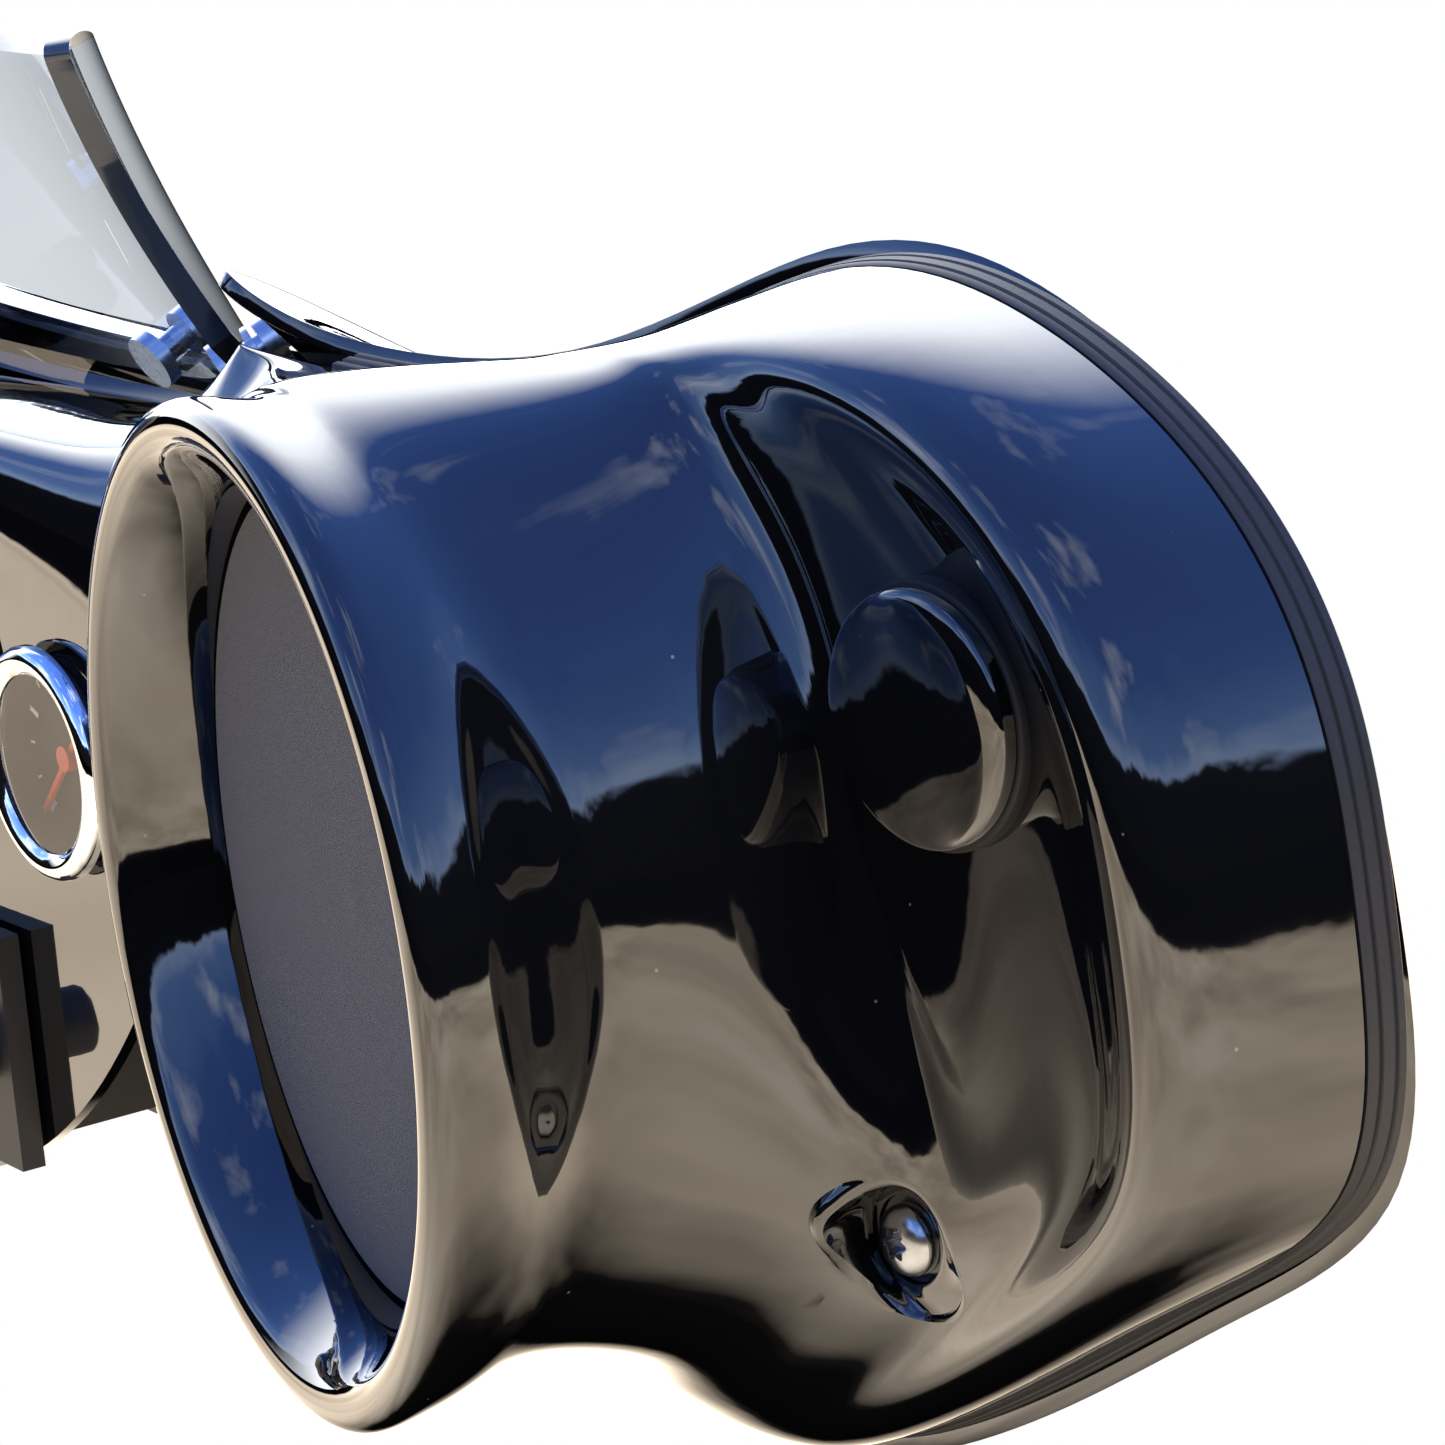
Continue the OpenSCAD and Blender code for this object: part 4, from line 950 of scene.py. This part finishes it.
finish_piece(other_cloth, cloth_material, "grille_cloth", "fairing")
print("plugs, screws and cloths made")

# %% Rubber surrounds of the cones
roll = [(54.3, -31.2), (54.3, -30), (54.7, -29), (55.2, -28.3), (55.8, -27.8), (56.6, -27.6), (57.4, -27.8),
        (58, -28.3), (58.4, -28.9), (58.7, -29.6), (58.7, -30.8), (57.9, -30.8), (57.6, -29.8), (57.2, -29.2),
        (56.6, -28.8), (56, -29.2), (55.5, -30.2), (55.2, -31.2)]
surround = turned("surround_roll_right", roll, to_world(POD_AXES, POD), 96, 60)
other_surround = left_copy(surround, "surround_roll_left")
finish_piece(surround, black_rubber, "soft_rubber", "fairing", "surround_right")
finish_piece(other_surround, black_rubber, "soft_rubber", "fairing", "surround_left")

# %% [markdown]
# ## Wiring harness
# The speaker leads run in a ribbed split loom, clipped inside the shells all the way.

# %% Wiring harness in a ribbed loom
harness_route = [(30, 31, -40), (44, 44, -52), (96, 58, -30), (150, 40, 0), (206, 40, 20), (232, 27, 22)]
LOOM_STEPS, LOOM_SIDES, LOOM_RADIUS, RIB_HEIGHT = 240, 16, 3.6, 0.35
loom_line = smooth_through(harness_route, np.linspace(0, len(harness_route) - 1, LOOM_STEPS + 1))
loom_rows = []
for i, spot in enumerate(loom_line):
    ahead = loom_line[min(i + 1, LOOM_STEPS)] - loom_line[max(i - 1, 0)]
    ahead /= np.linalg.norm(ahead)
    side = np.cross(ahead, [0, 0, 1.0])
    side /= np.linalg.norm(side)
    over = np.cross(side, ahead)
    r = LOOM_RADIUS + RIB_HEIGHT * math.sin(i * math.pi * 0.5)
    loom_rows.append([spot + r * (math.cos(a) * side + math.sin(a) * over)
                      for a in np.linspace(0, 2 * math.pi, LOOM_SIDES, endpoint=False)])
loom_faces = grid_faces(LOOM_STEPS + 1, LOOM_SIDES, True)
loom_faces += [tuple(range(LOOM_SIDES))[::-1],
               tuple(LOOM_STEPS * LOOM_SIDES + k for k in range(LOOM_SIDES))]
loom = face_out(meshed("wiring_loom", placed(np.array(loom_rows).reshape(-1, 3)), loom_faces), 60)
finish_piece(twinned(loom), black_plastic, "black_plastic", "fairing", "wiring_harness")

# %% [markdown]
# ## Instruments
# Each gauge has a turned chrome bezel over its lens. The dials carry plain ticks and numbers.

# %% Bezels
bezel_outline = [(-3, 0), (-0.3, 0), (0, 0.3), (0, 1.6), (-0.4, 2.5), (-1, 3.2), (-1.8, 3.65), (-2.6, 3.8),
                 (-3.6, 3.5), (-4.6, 3), (-5.4, 2.2), (-3, 2.2)]
bezels = []
for name, (x, z, radius) in dials.items():
    made = turned(name + "_bezel", [(radius + r, 0.6 + h) for r, h in bezel_outline],
                  to_world(FLAT_AXES, (x, DASH_FRONT, z)), 128, 40)
    bezels.append(made)
only(bezels[0])
for made in bezels:
    made.select_set(True)
bpy.ops.object.join()
bezels[0].name = "gauge_bezel_rings"
finish_piece(bezels[0], chrome, "chrome", "fairing", "gauge_bezels")

# %% Ticks and numbers on the dials
dial_ink = plastic("printed_dial_ink", "#e9e6dc", 0.6)
prints = []
DIAL_TOP = -4.95
for name, (x, z, radius) in dials.items():
    steps = 40 if radius > 30 else 12
    for k in range(steps + 1):
        a = math.radians(225 - 270 * k / steps)
        long = k % 5 == 0 if radius > 30 else k % 3 == 0
        inner, outer = radius * (0.66 if long else 0.73), radius * 0.8
        across = np.array([-math.sin(a), math.cos(a), 0]) * (0.55 if long else 0.25)
        along_tick = np.array([math.cos(a), math.sin(a), 0])
        base = np.array([0, 0, DIAL_TOP])
        corners = [base + along_tick * inner - across, base + along_tick * outer - across,
                   base + along_tick * outer + across, base + along_tick * inner + across]
        corners = corners + [c + [0, 0, 0.06] for c in corners]
        tick = meshed("tick", [tuple(c) for c in corners],
                      [(3, 2, 1, 0), (4, 5, 6, 7), (0, 1, 5, 4), (1, 2, 6, 5), (2, 3, 7, 6), (3, 0, 4, 7)])
        prints.append(settle(tick, to_world(FLAT_AXES, (x, DASH_FRONT, z))))
        if long and radius > 30:
            bpy.ops.object.select_all(action="DESELECT")
            bpy.ops.object.text_add()
            figure = bpy.context.object
            figure.data.body = str(k // 5 * (20 if name == "speed" else 1))
            figure.data.size, figure.data.align_x, figure.data.align_y = 5.6, "CENTER", "CENTER"
            figure.data.extrude = 0.03
            bpy.ops.object.convert(target="MESH")
            figure = bpy.context.object
            figure.data.transform(Matrix.Translation((*(along_tick[:2] * radius * 0.53), DIAL_TOP + 0.03)))
            prints.append(settle(figure, to_world(FLAT_AXES, (x, DASH_FRONT, z))))
only(prints[0])
for made in prints:
    made.select_set(True)
bpy.ops.object.join()
prints[0].name = "dial_print"
finish_piece(prints[0], dial_ink, "dial", "fairing")

# %% [markdown]
# ## Finishes of the solid pieces that stay
# Pieces that are already the right shape keep their solid, with a real finish.

# %% Finishes
lens_plastic = clear_plastic("clear_gauge_lens", "#f6f8fa")[0]
lamp_glass, lamp_tree, lamp_shine = clear_plastic("ribbed_headlamp_glass", "#f1f5f8", "#9fb2b8")
rib_at = add(lamp_tree, "ShaderNodeTexCoord").outputs["Object"]
ribs = add(lamp_tree, "ShaderNodeTexWave", {"Vector": rib_at, "Scale": 26.0}, wave_type="BANDS",
           bands_direction="X", wave_profile="SIN").outputs["Fac"]
rib_bump = add(lamp_tree, "ShaderNodeBump", {"Height": ribs, "Strength": 0.6, "Distance": 0.001})
for part in lamp_shine:
    lamp_tree.links.new(rib_bump.outputs["Normal"], part.inputs["Normal"])
display, display_tree, display_shader = finish_named(
    "switched_off_display", Base_Color=linear("#0e1a2c"), Roughness=0.12, Coat_Weight=0.6,
    Coat_Roughness=0.03)
haze_at = add(display_tree, "ShaderNodeTexCoord").outputs["Object"]
haze = add(display_tree, "ShaderNodeTexNoise", {"Vector": haze_at, "Scale": 60.0}).outputs["Fac"]
haze = add(display_tree, "ShaderNodeMapRange", {"Value": haze, "To Min": 0.08, "To Max": 0.2})
display_tree.links.new(haze.outputs["Result"], display_shader.inputs["Roughness"])
dial_face = plastic("satin_black_dial", "#0b0c0e", 0.55)

finishes = {
    zinc: ["windshield_screws", "plug_nuts", "shell_screw_nuts", "speaker_screws", "headlamp_ring_screws",
           "strut_bolts"],
    powder: ["fork_bracket", "shell_struts", "speaker_baskets", "grille_frames"],
    black_plastic: ["speaker_adapter_rings", "gauge_housings", "receiver_case", "receiver_face",
                    "headlamp_bucket"],
    ferrite: ["speaker_magnets"],
    cone_paper: ["cone_right", "cone_left", "dust_cap_right", "dust_cap_left"],
    dial_face: ["gauge_dials"],
    orange: ["speed_needle", "engine_speed_needle", "fuel_needle", "voltage_needle"],
    key_plastic: ["volume_knob", "button_up", "button_down", "button_mode", "button_source"],
    display: ["receiver_screen"],
    lens_plastic: ["gauge_lenses", "headlamp_bulb"],
    lamp_glass: ["headlamp_glass"],
    chrome: ["headlamp_ring"],
    reflector_chrome: ["headlamp_reflector"],
}
for finish, names in finishes.items():
    for name in names:
        solid = node_objects[name]
        solid.data.materials.clear()
        solid.data.materials.append(finish)
print(sum(len(names) for names in finishes.values()), "solid pieces finished")
